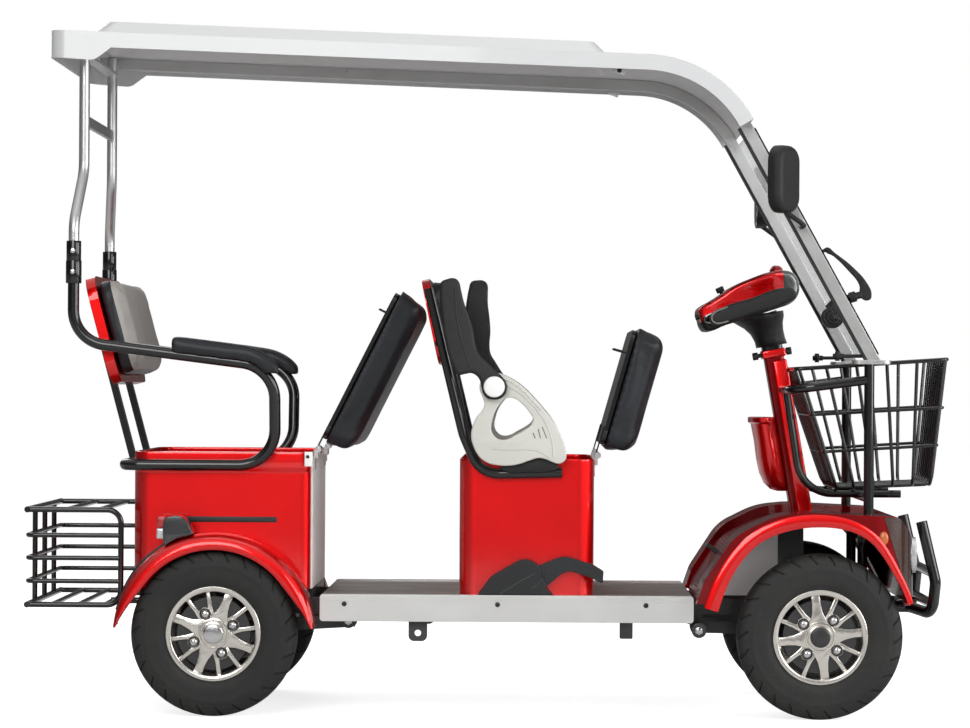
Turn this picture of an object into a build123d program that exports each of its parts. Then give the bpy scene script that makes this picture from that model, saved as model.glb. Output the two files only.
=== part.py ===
from build123d import *
import math
import os

# Four-wheel roofed electric scooter with two rows of seats, seats tipped open as in the photo.
# Millimetres. X points forward, Y to the vehicle's left, Z up, the ground is Z = 0.
# Every piece is built on the right side (negative Y) and mirrored where it comes in pairs.

# Running gear
WHEELBASE = 1480
FRONT_AXLE_X = 812
REAR_AXLE_X = FRONT_AXLE_X - WHEELBASE
DECK_HALF = 330
HALF_TRACK = DECK_HALF + 10
TYRE_R = 203
TYRE_W = 96
RIM_SEAT_R = 108
RIM_WALL = 6
RIM_FLANGE_R = 116
HUB_R = 34
HUB_CAP_R = 26
NUT_CIRCLE_R = 52
SPINDLE_R = 15
RUN_FIT = 0.08
KINGPIN_Y = HALF_TRACK - 55
KINGPIN_R = 8
KINGPIN_BOSS_R = 14
AXLE_Z = TYRE_R
ARM_BACK = 70

# Deck, frame and sills
DECK_X0 = -412
DECK_X1 = 505
SILL_W = 30
SILL_Z0 = 232
SILL_Z1 = 298
SILL_WALL = 4
RAIL_Y = DECK_HALF - 115
FRONT_RAIL_Y = HALF_TRACK - 190
RAIL_W = 30
RAIL_Z0 = 243
RAIL_Z1 = 283
DECK_T = 10
DECK_Z = RAIL_Z1 + DECK_T
LUG_X = -172
LUG_Z = 202
LUG_W = 46
LUG_T = 8
LUG_HOLE_R = 8

# Bodywork boxes
SKIN = 4
TRUNK_X0 = -877
TRUNK_X1 = -436
TRUNK_HALF = DECK_HALF - 48
TRUNK_Z0 = 307
TRUNK_Z1 = 645
TRUNK_RIM = 44
RIM_OUT = 8
BOX_X0 = -72
BOX_X1 = 260
BOX_HALF = DECK_HALF - SILL_W
BOX_Z1 = 632
BOX_CORNER = 24
BATTERY = (256, 360, 165)

# Rear fenders
FENDER_R = 246
FENDER_LIP_R = 204
FENDER_Y = HALF_TRACK + 58
FENDER_Z0 = 217

# Rear seat
ARM_TUBE_R = 14
ARM_Y = TRUNK_HALF + 63
ARM_LOW_Y = TRUNK_HALF + RIM_OUT + ARM_TUBE_R + 0.5
BACK_HALF = TRUNK_HALF + 6
BACK_LEAN = 15
BACK_FOOT = (-909, 815)
BACK_TALL = 272
BACK_SHELL_T = 24
BACK_PAD_T = 52
BACK_POST_Y = 158

# Cushions, given closed; OPEN angles are the photo's tipped rest position
CUSHION_GAP = 4
REAR_CUSHION_T = 74
REAR_CUSHION_HALF = TRUNK_HALF + 2
REAR_HINGE = (-425, 652)
REAR_OPEN = 116.6
DRIVER_CUSHION_T = 78
DRIVER_CUSHION_HALF = BOX_HALF - 10
DRIVER_HINGE = (270, 640)
DRIVER_OPEN = 105.7
HINGE_PIN_R = 5
PAN_T = 10

# Driver's seat back, guards and armrests
SEAT_TUBE_R = 12.5
SEAT_TUBE_Y = BOX_HALF + SEAT_TUBE_R + 0.3
SEAT_LEAN = 12
SEAT_BACK_FOOT = (-108, 868)
SEAT_BACK_TALL = 214
SEAT_BACK_HALF = BOX_HALF - 65
SEAT_SHELL_T = 20
SEAT_PAD_T = 46
GUARD_Y0 = SEAT_TUBE_Y + SEAT_TUBE_R
GUARD_T = 18
PIVOT = (13, 809)
PIVOT_R = 30
PIVOT_PIN_R = 10
ARMREST_T = 30
ARMREST_LEAN = {"right": 0, "left": 13}

# Roof, rails and pillars; the roof bends about one centre into the pillars
ROOF_HALF = DECK_HALF + 45
ROOF_REAR_X = -1077
ROOF_BEND = (375, 1318)
ROOF_R = 305
ROOF_SLOPE = 2
ROOF_SKIRT = 38
PILLAR_LEAN = 29
RAIL_DEPTH = 28
RAIL_BREADTH = 30
PILLAR_Y = ROOF_HALF - 75
PILLAR_FOOT_Z = 880
HUMP_HALF = ROOF_HALF - 140
HUMP_TALL = 46
POST_R = 13
POST_TOP_Y = PILLAR_Y - 29
POST_X = -1004
SLEEVE_R = 17
GLASS_T = 4

# Front end
COWL_HALF = HALF_TRACK + 60
COWL_FRONT_X = 1044
COWL_TOP_Z = 506
WELL_HALF = COWL_HALF - 168
LINER_Y = WELL_HALF - 42
WELL_DROP = 24
COLUMN_TOP = (718, 902)
COLUMN_LEAN = 10
COLUMN_LONG = 430
COLUMN_W = 50
STEM_R = 13
FRAME_TUBE_R = 12.5
FRAME_X = 935
BASKET_WIRE_R = 3
BASKET_RIM_R = 5
RACK_TUBE_R = 7
RACK_HALF = TRUNK_HALF + 8
MIRROR_Y = PILLAR_Y + 104


def block(x0, x1, y0, y1, z0, z1):
    """A box given by its six limits."""
    centre = Pos((x0 + x1) / 2, (y0 + y1) / 2, (z0 + z1) / 2)
    return centre * Box(x1 - x0, y1 - y0, z1 - z0)


def outline(rows):
    """A flat face from rows of (first, second, corner radius)."""
    points = [(a, b) for a, b, _ in rows]
    radii = [r for _, _, r in rows]
    return make_face(FilletPolyline(*points, radius=radii, close=True))


def slab(face, y0, y1):
    """A side-view face (X, Z) made solid between two Y positions."""
    return extrude(Plane.XZ.offset(-y1) * face, y1 - y0)


def column(face, z0, z1):
    """A plan-view face (X, Y) made solid between two heights."""
    return extrude(Pos(0, 0, z0) * face, z1 - z0)


def tube(points, radii, r):
    """A round bar along a filleted path."""
    path = FilletPolyline(*points, radius=radii) if radii else Polyline(*points)
    return sweep(Plane(origin=path @ 0, z_dir=path % 0) * Circle(r), path=path)


def rod(p, q, r):
    """A straight round bar between two points."""
    start, end = Vector(*p), Vector(*q)
    axis = end - start
    return extrude(Plane(origin=start, z_dir=axis) * Circle(r), axis.length)


def cross_rod(x, z, y0, y1, r):
    """A round bar along Y."""
    return rod((x, y0, z), (x, y1, z), r)


def left(piece):
    """The same piece on the other side of the vehicle."""
    return mirror(piece, about=Plane.XZ)


def several(*pieces):
    """Separate pieces kept as solids of one node."""
    return Compound([solid for piece in pieces for solid in piece.solids()])


def pair(piece):
    """A piece and its mirror image, as solids of one node."""
    return several(piece, left(piece))


def turned(piece, pivot, degrees):
    """A piece turned about a Y axis through pivot (X, Z); positive tips upright pieces forward."""
    x, z = pivot
    return Pos(x, 0, z) * Rot(0, degrees, 0) * Pos(-x, 0, -z) * piece


NODES = {}


# Wheels: the axle lies along Y at the origin, the outer face looks to -Y
def make_tyre():
    half = TYRE_W / 2
    seat = half - 8
    section = [
        (RIM_SEAT_R, -seat, 0), (RIM_FLANGE_R + 2, -seat, 2), (150, -half, 24), (190, 3 - half, 10),
        (TYRE_R, 20 - half, 22), (TYRE_R, half - 20, 22), (190, half - 3, 10), (150, half, 24),
        (RIM_FLANGE_R + 2, seat, 2), (RIM_SEAT_R, seat, 0),
    ]
    return revolve(outline(section), Axis.Y)


def make_rim():
    seat = TYRE_W / 2 - 8
    inner = RIM_SEAT_R - RIM_WALL
    barrel = [
        (inner, -seat - 4, 0), (RIM_FLANGE_R, -seat - 4, 0), (RIM_FLANGE_R, -seat, 0), (RIM_SEAT_R, -seat, 0),
        (RIM_SEAT_R, seat, 0), (RIM_FLANGE_R, seat, 0), (RIM_FLANGE_R, seat + 4, 0), (inner, seat + 4, 0),
    ]
    rim = revolve(outline(barrel), Axis.Y)
    rim += rod((0, -34, 0), (0, 20, 0), HUB_R)
    spokes = [(90 * k, 26) for k in range(4)]
    spokes += [(45 + 90 * k + side * 17, 11) for k in range(4) for side in (-1, 1)]
    for angle, width in spokes:
        bar = block(20, inner + 1, -32, -12, -width / 2, width / 2)
        rim += Rot(0, angle, 0) * bar
    for k in range(4):
        pad = rod((NUT_CIRCLE_R, -33, 0), (NUT_CIRCLE_R, -14, 0), 15)
        nut = rod((NUT_CIRCLE_R, -41, 0), (NUT_CIRCLE_R, -33, 0), 8)
        rim += Rot(0, 45 + 90 * k, 0) * (pad + nut)
    rim += rod((0, -45, 0), (0, -34, 0), HUB_CAP_R)
    return rim - rod((0, -29, 0), (0, 20, 0), SPINDLE_R + RUN_FIT)


TYRE = make_tyre()
RIM = make_rim()
WHEELS = [
    ("front_right", FRONT_AXLE_X, -1), ("front_left", FRONT_AXLE_X, 1),
    ("rear_right", REAR_AXLE_X, -1), ("rear_left", REAR_AXLE_X, 1),
]
for corner, axle_x, side in WHEELS:
    for kind, solid in (("tyre", TYRE), ("rim", RIM)):
        placed = Pos(axle_x, -HALF_TRACK, AXLE_Z) * solid
        NODES[f"{kind}_{corner}"] = left(placed) if side > 0 else placed


# Steering knuckles, tie rod and the two axles
def make_knuckle():
    web_y = KINGPIN_Y + KINGPIN_BOSS_R + 5
    x, z = FRONT_AXLE_X, AXLE_Z
    knuckle = block(x - 22, x + 22, -web_y - 11, -web_y, z - 36, z + 36)
    for low in (z - 36, z + 24):
        knuckle += block(x - 16, x + 16, -web_y, -KINGPIN_Y, low, low + 12)
        knuckle += rod((x, -KINGPIN_Y, low), (x, -KINGPIN_Y, low + 12), 16)
    knuckle += rod((x, -KINGPIN_Y, z - 36), (x, -KINGPIN_Y, z + 36), KINGPIN_R)
    knuckle += cross_rod(x, z, -HALF_TRACK - 28, -web_y - 11, SPINDLE_R)
    arm = [(x - ARM_BACK - 12, -KINGPIN_Y - 12, 10), (x + 8, -KINGPIN_Y - 14, 0),
           (x + 8, -KINGPIN_Y + 14, 0), (x - ARM_BACK - 12, -KINGPIN_Y + 12, 10)]
    knuckle += column(outline(arm), z - 46, z - 36)
    knuckle += rod((x - ARM_BACK, -KINGPIN_Y, z - 36), (x - ARM_BACK, -KINGPIN_Y, z - 14), 6)
    return knuckle


def make_tie_rod():
    x, z = FRONT_AXLE_X - ARM_BACK, AXLE_Z - 25.5
    bar = cross_rod(x, z, -KINGPIN_Y, KINGPIN_Y, 8)
    for y in (-KINGPIN_Y, KINGPIN_Y):
        bar += rod((x, y, z - 10), (x, y, z + 10), 13)
    for y in (-KINGPIN_Y, KINGPIN_Y):
        bar -= rod((x, y, z - 20), (x, y, z + 20), 6 + RUN_FIT)
    return bar


def make_front_axle():
    x, z = FRONT_AXLE_X, AXLE_Z
    axle = block(x - 14, x + 14, -KINGPIN_Y, KINGPIN_Y, z - 14, z + 14)
    for y in (-KINGPIN_Y, KINGPIN_Y):
        axle += rod((x, y, z - 23.5), (x, y, z + 23.5), KINGPIN_BOSS_R)
        axle -= rod((x, y, z - 30), (x, y, z + 30), KINGPIN_R + RUN_FIT)
    pivot = (520, 212)
    arm = [(pivot[0] - 16, pivot[1] - 16, 15), (x + 10, z - 12, 6), (x + 10, z + 12, 6),
           (pivot[0] - 16, pivot[1] + 16, 15)]
    for y in (-FRONT_RAIL_Y, FRONT_RAIL_Y - 16):
        axle += slab(outline(arm), y, y + 16)
    pivot_half = DECK_HALF - SILL_W - 6
    axle += cross_rod(pivot[0], pivot[1], -pivot_half, pivot_half, 10)
    for y in (-FRONT_RAIL_Y + 30, FRONT_RAIL_Y - 30):
        axle += rod((x, y, z + 10), (x, y, RAIL_Z0), 20)
    return axle


def make_rear_axle():
    x, z = REAR_AXLE_X, AXLE_Z
    axle = cross_rod(x, z, -HALF_TRACK + 26, HALF_TRACK - 26, 24)
    axle += cross_rod(x, z, -HALF_TRACK - 28, HALF_TRACK + 28, SPINDLE_R)
    arm = [(x - 24, z - 14, 10), (-326, 211, 14), (-326, 243, 14), (x - 24, z + 18, 10)]
    for y in (-RAIL_Y - 9, RAIL_Y - 9):
        axle += slab(outline(arm), y, y + 18)
    for y in (45 - RAIL_Y, RAIL_Y - 45):
        axle += rod((x, y, z), (x, y, TRUNK_Z0), 20)
    return axle


NODES["knuckle_right"] = make_knuckle()
NODES["knuckle_left"] = left(NODES["knuckle_right"])
NODES["tie_rod"] = make_tie_rod()
NODES["front_axle"] = make_front_axle()
NODES["rear_axle"] = make_rear_axle()
motor = cross_rod(REAR_AXLE_X + 20, AXLE_Z + 4, -70, 60, 68)
motor += cross_rod(REAR_AXLE_X + 120, AXLE_Z + 18, -130, 90, 58)
motor += block(REAR_AXLE_X + 20, REAR_AXLE_X + 120, -60, 20, AXLE_Z - 30, AXLE_Z + 50)
NODES["drive_motor"] = motor - cross_rod(REAR_AXLE_X, AXLE_Z, -200, 200, 24)


# Chassis frame with tie-down lugs
def make_frame():
    frame = block(TRUNK_X0 + 10, DECK_X1, -RAIL_Y - RAIL_W / 2, -RAIL_Y + RAIL_W / 2, RAIL_Z0, RAIL_Z1)
    frame += block(DECK_X1 - 80, 1010, -FRONT_RAIL_Y - RAIL_W / 2, -FRONT_RAIL_Y + RAIL_W / 2, RAIL_Z0, RAIL_Z1)
    lug_y = DECK_HALF - SILL_W
    frame += block(LUG_X - 30, LUG_X + 30, -lug_y, -RAIL_Y, RAIL_Z0, RAIL_Z1)
    lug = [(LUG_X - LUG_W / 2, LUG_Z - 20, 14), (LUG_X + LUG_W / 2, LUG_Z - 20, 14),
           (LUG_X + LUG_W / 2, RAIL_Z1 - 10, 0), (LUG_X - LUG_W / 2, RAIL_Z1 - 10, 0)]
    frame += slab(outline(lug), -lug_y, -lug_y + LUG_T)
    frame -= cross_rod(LUG_X, LUG_Z, -lug_y - 5, -lug_y + 20, LUG_HOLE_R)
    frame += left(frame)
    members = [
        (TRUNK_X0 + 10, RAIL_Y, 30, TRUNK_Z0), (TRUNK_X1 - 30, RAIL_Y, 30, TRUNK_Z0),
        (DECK_X0, lug_y, 30, RAIL_Z1), (90, lug_y, 40, RAIL_Z1), (DECK_X1 - 80, lug_y, 80, RAIL_Z1),
        (980, FRONT_RAIL_Y, 30, RAIL_Z1),
    ]
    for x0, half, length, top in members:
        frame += block(x0, x0 + length, -half, half, RAIL_Z0 if top == RAIL_Z1 else RAIL_Z1 - 20, top)
    hanger = block(506, 534, -FRONT_RAIL_Y - 12, -FRONT_RAIL_Y - 2, 200, RAIL_Z0 + 5)
    rear_hanger = block(-362, -330, -RAIL_Y - 21, -RAIL_Y - 10, 212, RAIL_Z0 + 5)
    frame += hanger + left(hanger) + rear_hanger + left(rear_hanger)
    frame -= cross_rod(520, 212, -200, 200, 10)
    return frame


NODES["chassis_frame"] = make_frame()
NODES["floor_deck"] = block(DECK_X0, DECK_X1, SILL_W - DECK_HALF, DECK_HALF - SILL_W, RAIL_Z1, DECK_Z)
sill = slab(outline([(DECK_X0, SILL_Z0, 8), (DECK_X1, SILL_Z0, 8), (DECK_X1, SILL_Z1, 8), (DECK_X0, SILL_Z1, 8)]),
            -DECK_HALF, SILL_W - DECK_HALF)
sill -= block(DECK_X0 + 5, DECK_X1 - 5, SILL_WALL - DECK_HALF, SILL_W - DECK_HALF, SILL_Z0 + 6, RAIL_Z1 - 6)
NODES["side_sills"] = pair(sill)


# Open-topped red boxes: rear trunk and driver's seat box
def make_tub(x0, x1, half, z0, z1, rim, corner):
    mid = (x0 + x1) / 2
    shape = Pos(mid, 0) * RectangleRounded(x1 - x0, 2 * half, corner)
    band = Pos(mid, 0) * RectangleRounded(x1 - x0, 2 * (half + RIM_OUT), corner)
    inside = Pos(mid, 0) * RectangleRounded(x1 - x0 - 2 * SKIN, 2 * (half - SKIN), corner - SKIN)
    tub = column(shape, z0, z1)
    if rim:
        tub += column(band, z1 - rim, z1)
    return tub - column(inside, z0 + SKIN, z1)


NODES["rear_trunk"] = make_tub(TRUNK_X0, TRUNK_X1 - SKIN, TRUNK_HALF, TRUNK_Z0, TRUNK_Z1, TRUNK_RIM, BOX_CORNER)
panel_half = TRUNK_HALF - 30
NODES["trunk_front_panel"] = block(TRUNK_X1 - SKIN, TRUNK_X1, -panel_half, panel_half, TRUNK_Z0, TRUNK_Z1 - 12)
NODES["seat_box"] = make_tub(BOX_X0, BOX_X1, BOX_HALF, DECK_Z, BOX_Z1, 0, BOX_CORNER)
BATTERY_X = (BOX_X0 + BOX_X1) / 2
NODES["battery_pack"] = Pos(BATTERY_X, 0, DECK_Z + SKIN + BATTERY[2] / 2) * Box(*BATTERY)


# Rear fenders and tail lamps
def make_fender():
    def disc(r, y0, y1):
        return cross_rod(REAR_AXLE_X, AXLE_Z, y0, y1, r)
    fender = disc(FENDER_R, -FENDER_Y, -TRUNK_HALF) - disc(FENDER_R - SKIN, SKIN - FENDER_Y, -TRUNK_HALF)
    fender -= disc(FENDER_LIP_R, -FENDER_Y, -TRUNK_HALF)
    return fender - block(REAR_AXLE_X - 300, REAR_AXLE_X + 300, -500, 0, -100, FENDER_Z0)


NODES["rear_fenders"] = pair(make_fender())
lamp = block(REAR_AXLE_X - 142, REAR_AXLE_X - 48, 16 - FENDER_Y, -TRUNK_HALF - 24, AXLE_Z + 150, AXLE_Z + 286)
lamp = fillet(lamp.edges().filter_by(Axis.Y), 18)
NODES["tail_lamps"] = pair(lamp - cross_rod(REAR_AXLE_X, AXLE_Z, -500, 0, FENDER_R))


# Rear luggage rack: two side loops, U bars round the back and a floor plate
def make_rack():
    r = RACK_TUBE_R
    back, front, low, top = -1135, -905, 266, 500
    y = RACK_HALF
    rack = cross_rod(back, top, -y - r - 1, y + r + 1, r + 0.5) + cross_rod(back, low, -y - r - 1, y + r + 1, r + 0.5)
    for side in (-y, y):
        rack += tube([(back, side, top), (front, side, top), (front, side, low), (back, side, low)], [34, 34], r)
    for z in (324, 381, 437):
        rack += tube([(front, -y, z), (back, -y, z), (back, y, z), (front, y, z)], [16, 16], r - 1)
    for upright in (-165, 0, 165):
        rack += rod((back, upright, low), (back, upright, top), r - 0.5)
    for x in (front - 40, -1010, -1075):
        rack += cross_rod(x, low, -y, y, r - 1)
    for x in (-960, -1040):
        rack += cross_rod(x, top, -y, y, r - 1)
    for stay in (-BACK_POST_Y, BACK_POST_Y):
        rack += rod((front - 40, stay, low + 3), (TRUNK_X0 + 10, stay, low + 3), r + 1)
    return rack


NODES["rear_rack"] = make_rack()

# Rear seat arms: one tube from post to post, round the back of the trunk
arm_path = [(POST_X - 14, -ARM_Y, 1060), (POST_X - 14, -ARM_Y, 915), (-525, -ARM_Y, 854),
            (-525, -ARM_LOW_Y, 612), (TRUNK_X0 - 21, -ARM_LOW_Y, 612)]
arm_path += [(x, -y, z) for x, y, z in reversed(arm_path)]
NODES["arm_frame"] = tube(arm_path, [85, 90, 90, 40, 40, 90, 90, 85], ARM_TUBE_R)


# Arm pads lie on top of the tube and follow its bend a little way down
ARM_PAD_X0 = -780
ARM_PAD_Z0 = 836
ARM_PAD_W = 52
ARM_PAD_T = 46
ARM_PAD_RISE = 20


def make_arm_pads():
    (x0, _, z0), (x1, _, z1) = arm_path[1], arm_path[2]
    slope = (z1 - z0) / (x1 - x0)
    top = z0 + ARM_PAD_RISE * math.hypot(1, slope)
    front = x1 + ARM_PAD_RISE
    path = FilletPolyline((ARM_PAD_X0, -ARM_Y, top + (ARM_PAD_X0 - x0) * slope),
                          (front, -ARM_Y, top + (front - x0) * slope), (front, -ARM_Y, 720), radius=90 + ARM_PAD_RISE)
    section = Plane(origin=path @ 0, x_dir=(0, 1, 0), z_dir=path % 0) * RectangleRounded(ARM_PAD_W, ARM_PAD_T, 15)
    pad = sweep(section, path=path) - block(x1 - 150, front + 60, -ARM_Y - 60, -ARM_Y + 60, 600, ARM_PAD_Z0)
    return pair(pad - NODES["arm_frame"])


NODES["arm_pads"] = make_arm_pads()


# Rear backrest on two posts that stand on the trunk's back wall
def leaning(foot, lean, thick0, thick1, low, high, half, corner):
    """A slab leaning back: thickness measured forward from the foot line, heights along it."""
    face = RectangleRounded(2 * half, high - low, corner)
    plane = Plane(origin=(foot[0], 0, foot[1]), x_dir=(0, 1, 0),
                  z_dir=(math.cos(math.radians(lean)), 0, math.sin(math.radians(lean))))
    return extrude(plane.offset(thick0) * (Pos(0, (low + high) / 2) * face), thick1 - thick0)


def shaped_pad(pad, r):
    """Round the front edges of a leaning pad."""
    front = pad.faces().sort_by(Axis.X)[-1]
    return fillet(front.edges(), r)


NODES["rear_backrest_shell"] = leaning(BACK_FOOT, BACK_LEAN, -BACK_SHELL_T, 0, 0, BACK_TALL, BACK_HALF, 60)
NODES["rear_backrest_pad"] = shaped_pad(
    leaning(BACK_FOOT, BACK_LEAN, 0, BACK_PAD_T, 8, BACK_TALL - 8, BACK_HALF - 8, 54), 20)
post = leaning(BACK_FOOT, BACK_LEAN, -BACK_SHELL_T - 16, -BACK_SHELL_T, -240, 120, 14, 6)
post = Pos(0, -BACK_POST_Y, 0) * post
post -= NODES["arm_frame"] + block(-2000, 0, -300, 300, 0, TRUNK_Z1 - TRUNK_RIM)
post -= block(TRUNK_X0, 0, -300, 300, 0, TRUNK_Z1)
NODES["backrest_posts"] = pair(post)


# Roof skin with skirts, hump, side rails running down as windscreen pillars
def bend_point(r, degrees):
    """A point on the roof bend; degrees measured from straight up toward the front."""
    turn = math.radians(degrees)
    return (ROOF_BEND[0] + r * math.sin(turn), ROOF_BEND[1] + r * math.cos(turn))


BEND_END = 90 - PILLAR_LEAN


def roof_region(r, rear_x, skirt, end):
    """Side view between the roof line at radius r and a line a skirt's depth below it."""
    angles = (ROOF_SLOPE, (ROOF_SLOPE + end) / 2, end)
    t0, tm, t1 = [bend_point(r, a) for a in angles]
    b0, bm, b1 = [bend_point(r - skirt, a) for a in angles]
    rise = math.tan(math.radians(ROOF_SLOPE))
    top_rear = (rear_x, t0[1] + (t0[0] - rear_x) * rise)
    low_rear = (rear_x, b0[1] + (b0[0] - rear_x) * rise)
    edges = Polyline(low_rear, top_rear, t0) + ThreePointArc(t0, tm, t1) + Line(t1, b1)
    edges += ThreePointArc(b1, bm, b0) + Line(b0, low_rear)
    return make_face(edges)


def make_roof():
    front = ROOF_BEND[0] + ROOF_R
    mid, long = (ROOF_REAR_X + front) / 2, front - ROOF_REAR_X
    plan = Pos(mid, 0) * RectangleRounded(long, 2 * ROOF_HALF, 40)
    inner_plan = Pos(mid, 0) * RectangleRounded(long - 2 * SKIN, 2 * (ROOF_HALF - SKIN), 36)
    skin = slab(roof_region(ROOF_R, ROOF_REAR_X, ROOF_SKIRT, BEND_END), -ROOF_HALF, ROOF_HALF)
    hollow = slab(roof_region(ROOF_R - SKIN, ROOF_REAR_X - 20, 120, BEND_END + 3), -ROOF_HALF, ROOF_HALF)
    skin = (skin & column(plan, 1300, 1800)) - (hollow & column(inner_plan, 1300, 1800))
    corner = [(ROOF_REAR_X - 1, 1607, 0), (-968, 1600, 30), (-900, 1650, 0), (ROOF_REAR_X - 1, 1654, 0)]
    skin += slab(outline(corner), -ROOF_HALF, ROOF_HALF) & (column(plan, 1500, 1700) - column(inner_plan, 1500, 1700))
    x0, x1 = -1010, 300
    rise = math.tan(math.radians(ROOF_SLOPE))
    seat = bend_point(ROOF_R, ROOF_SLOPE)
    mid = (x0 + x1) / 2
    origin = (mid, 0, seat[1] + (seat[0] - mid) * rise - 1)
    along, up = math.cos(math.radians(ROOF_SLOPE)), math.sin(math.radians(ROOF_SLOPE))
    plane = Plane(origin=origin, x_dir=(along, 0, -up), z_dir=(up, 0, along))
    low, high = x1 - x0, x1 - x0 - 90
    dome = loft([plane * RectangleRounded(low, 2 * HUMP_HALF, 40),
                 plane.offset(HUMP_TALL) * RectangleRounded(high, 2 * HUMP_HALF - 110, 30)])
    inner = HUMP_HALF - SKIN
    under = loft([plane.offset(-8) * RectangleRounded(low - 2 * SKIN, 2 * inner, 36),
                  plane.offset(HUMP_TALL - SKIN) * RectangleRounded(high - 2 * SKIN, 2 * inner - 110, 26)])
    return skin + dome - under


NODES["roof_panel"] = make_roof()


def make_rail():
    outer = ROOF_R - SKIN - 0.3
    y0, y1 = -PILLAR_Y - RAIL_BREADTH / 2, -PILLAR_Y + RAIL_BREADTH / 2
    rail = slab(roof_region(outer, ROOF_REAR_X + 40, RAIL_DEPTH, BEND_END), y0, y1)
    top, low = bend_point(outer, BEND_END), bend_point(outer - RAIL_DEPTH, BEND_END)
    run = math.tan(math.radians(PILLAR_LEAN))
    foot_top = (top[0] + (top[1] - PILLAR_FOOT_Z) * run, PILLAR_FOOT_Z)
    foot_low = (low[0] + (low[1] - PILLAR_FOOT_Z) * run, PILLAR_FOOT_Z)
    pillar = make_face(Polyline(top, foot_top, foot_low, low, close=True))
    rail += slab(pillar, y0, y1)
    plate = Pos(FRAME_X + 5, -PILLAR_Y, 0) * RectangleRounded(96, 48, 20)
    return rail + column(plate, PILLAR_FOOT_Z - 10, PILLAR_FOOT_Z)


NODES["roof_rails"] = pair(make_rail())


def make_screen():
    outer = ROOF_R - SKIN - 0.3
    run = math.tan(math.radians(PILLAR_LEAN))
    wide = GLASS_T / math.cos(math.radians(PILLAR_LEAN))
    top = bend_point(outer, BEND_END)
    z1, z0 = top[1] - 14, PILLAR_FOOT_Z + 12
    x1, x0 = top[0] + (top[1] - z1) * run, top[0] + (top[1] - z0) * run
    face = make_face(Polyline((x1, z1), (x0, z0), (x0 + wide, z0), (x1 + wide, z1), close=True))
    return slab(face, -PILLAR_Y - 12, PILLAR_Y + 12)


NODES["windscreen"] = make_screen()


def make_posts():
    rise = math.tan(math.radians(ROOF_SLOPE))
    seat = bend_point(ROOF_R - SKIN - 0.3, ROOF_SLOPE)
    top = seat[1] + (seat[0] - POST_X) * rise - 2
    foot_x = POST_X - 14
    path = [(POST_X, -POST_TOP_Y, top), (POST_X, -POST_TOP_Y, 1335), (foot_x, -ARM_Y, 1205), (foot_x, -ARM_Y, 1060)]
    posts = tube(path, [90, 90], POST_R)
    posts += rod((foot_x, -ARM_Y, 1060), (foot_x, -ARM_Y, 1156), SLEEVE_R)
    posts += left(posts)
    posts += block(POST_X - 5, POST_X + 5, -POST_TOP_Y, POST_TOP_Y, 1448, 1474)
    posts += block(POST_X - 14, POST_X + 14, -PILLAR_Y + RAIL_BREADTH / 2, PILLAR_Y - RAIL_BREADTH / 2, 1618, 1626)
    return posts


NODES["roof_posts"] = make_posts()


# Front cowl: one shell with a sunken middle, open wheel arches and holes for the frame tubes
COWL_SIDE = [(508, 284, 0), (526, 336, 60), (600, 450, 120), (700, 500, 200), (780, COWL_TOP_Z + 2, 200),
             (1004, COWL_TOP_Z - 8, 30), (COWL_FRONT_X - 6, 450, 60), (COWL_FRONT_X, 280, 0)]
ARCH = [(548, 240, 0), (570, 312, 60), (636, 432, 90), (716, 474, 120), (800, 484, 120), (900, 476, 70),
        (960, 412, 80), (1014, 312, 60), (1026, 240, 0)]


def make_cowl():
    side, plan_x0 = outline(COWL_SIDE), 480
    plan = outline([(plan_x0, -COWL_HALF, 0), (COWL_FRONT_X, -COWL_HALF, 110),
                    (COWL_FRONT_X, COWL_HALF, 110), (plan_x0, COWL_HALF, 0)])
    inner_plan = outline([(plan_x0 - 1, SKIN - COWL_HALF, 0), (COWL_FRONT_X - SKIN, SKIN - COWL_HALF, 106),
                          (COWL_FRONT_X - SKIN, COWL_HALF - SKIN, 106), (plan_x0 - 1, COWL_HALF - SKIN, 0)])
    cowl = slab(side, -COWL_HALF, COWL_HALF) & column(plan, 200, 600)
    open_side = outline([(501, 264, 0), *COWL_SIDE[1:-1], (COWL_FRONT_X + 0.6, 264, 0)])
    hollow = slab(Pos(0, -SKIN) * open_side, -COWL_HALF, COWL_HALF)
    for shift in (SKIN, -SKIN):
        hollow &= slab(Pos(shift, 0) * open_side, -COWL_HALF, COWL_HALF)
    hollow &= column(inner_plan, 200, 600)
    well = slab(Pos(0, -WELL_DROP) * side, -WELL_HALF, WELL_HALF)
    trench = block(500, 1000, -WELL_HALF, WELL_HALF, 240, 600) - well
    wall = block(500, 1000 + SKIN, -WELL_HALF - SKIN, WELL_HALF + SKIN, 240, 600)
    wall -= slab(Pos(0, -WELL_DROP - SKIN) * side, -WELL_HALF - SKIN, WELL_HALF + SKIN)
    shell = (cowl - hollow) + (cowl & wall)
    shell -= trench
    for y in (-COWL_HALF - 1, WELL_HALF + SKIN):
        shell -= slab(outline(ARCH), y, y + COWL_HALF + 1 - WELL_HALF - SKIN)
    for y in (-PILLAR_Y, PILLAR_Y):
        shell -= rod((FRAME_X, y, 430), (FRAME_X, y, 560), FRAME_TUBE_R)
    return shell - block(480, 620, -COWL_HALF, COWL_HALF, 0, RAIL_Z1 + 0.5)


NODES["front_cowl"] = make_cowl()

# Front lamps: two round headlamps
LAMP_Y = COWL_HALF - 150
headlamp = rod((COWL_FRONT_X - 4, -LAMP_Y, 400), (COWL_FRONT_X + 12, -LAMP_Y, 400), 44)
headlamp -= slab(outline(COWL_SIDE), -COWL_HALF, 0)
NODES["front_lamps"] = pair(headlamp)

# Light liner walls between the footwell and the wheels
liner = slab(Pos(0, -WELL_DROP - SKIN) * outline(COWL_SIDE), -LINER_Y - SKIN, -LINER_Y)
NODES["footwell_liners"] = pair(liner & block(540, 720, -COWL_HALF, 0, DECK_Z, 600))


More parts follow.
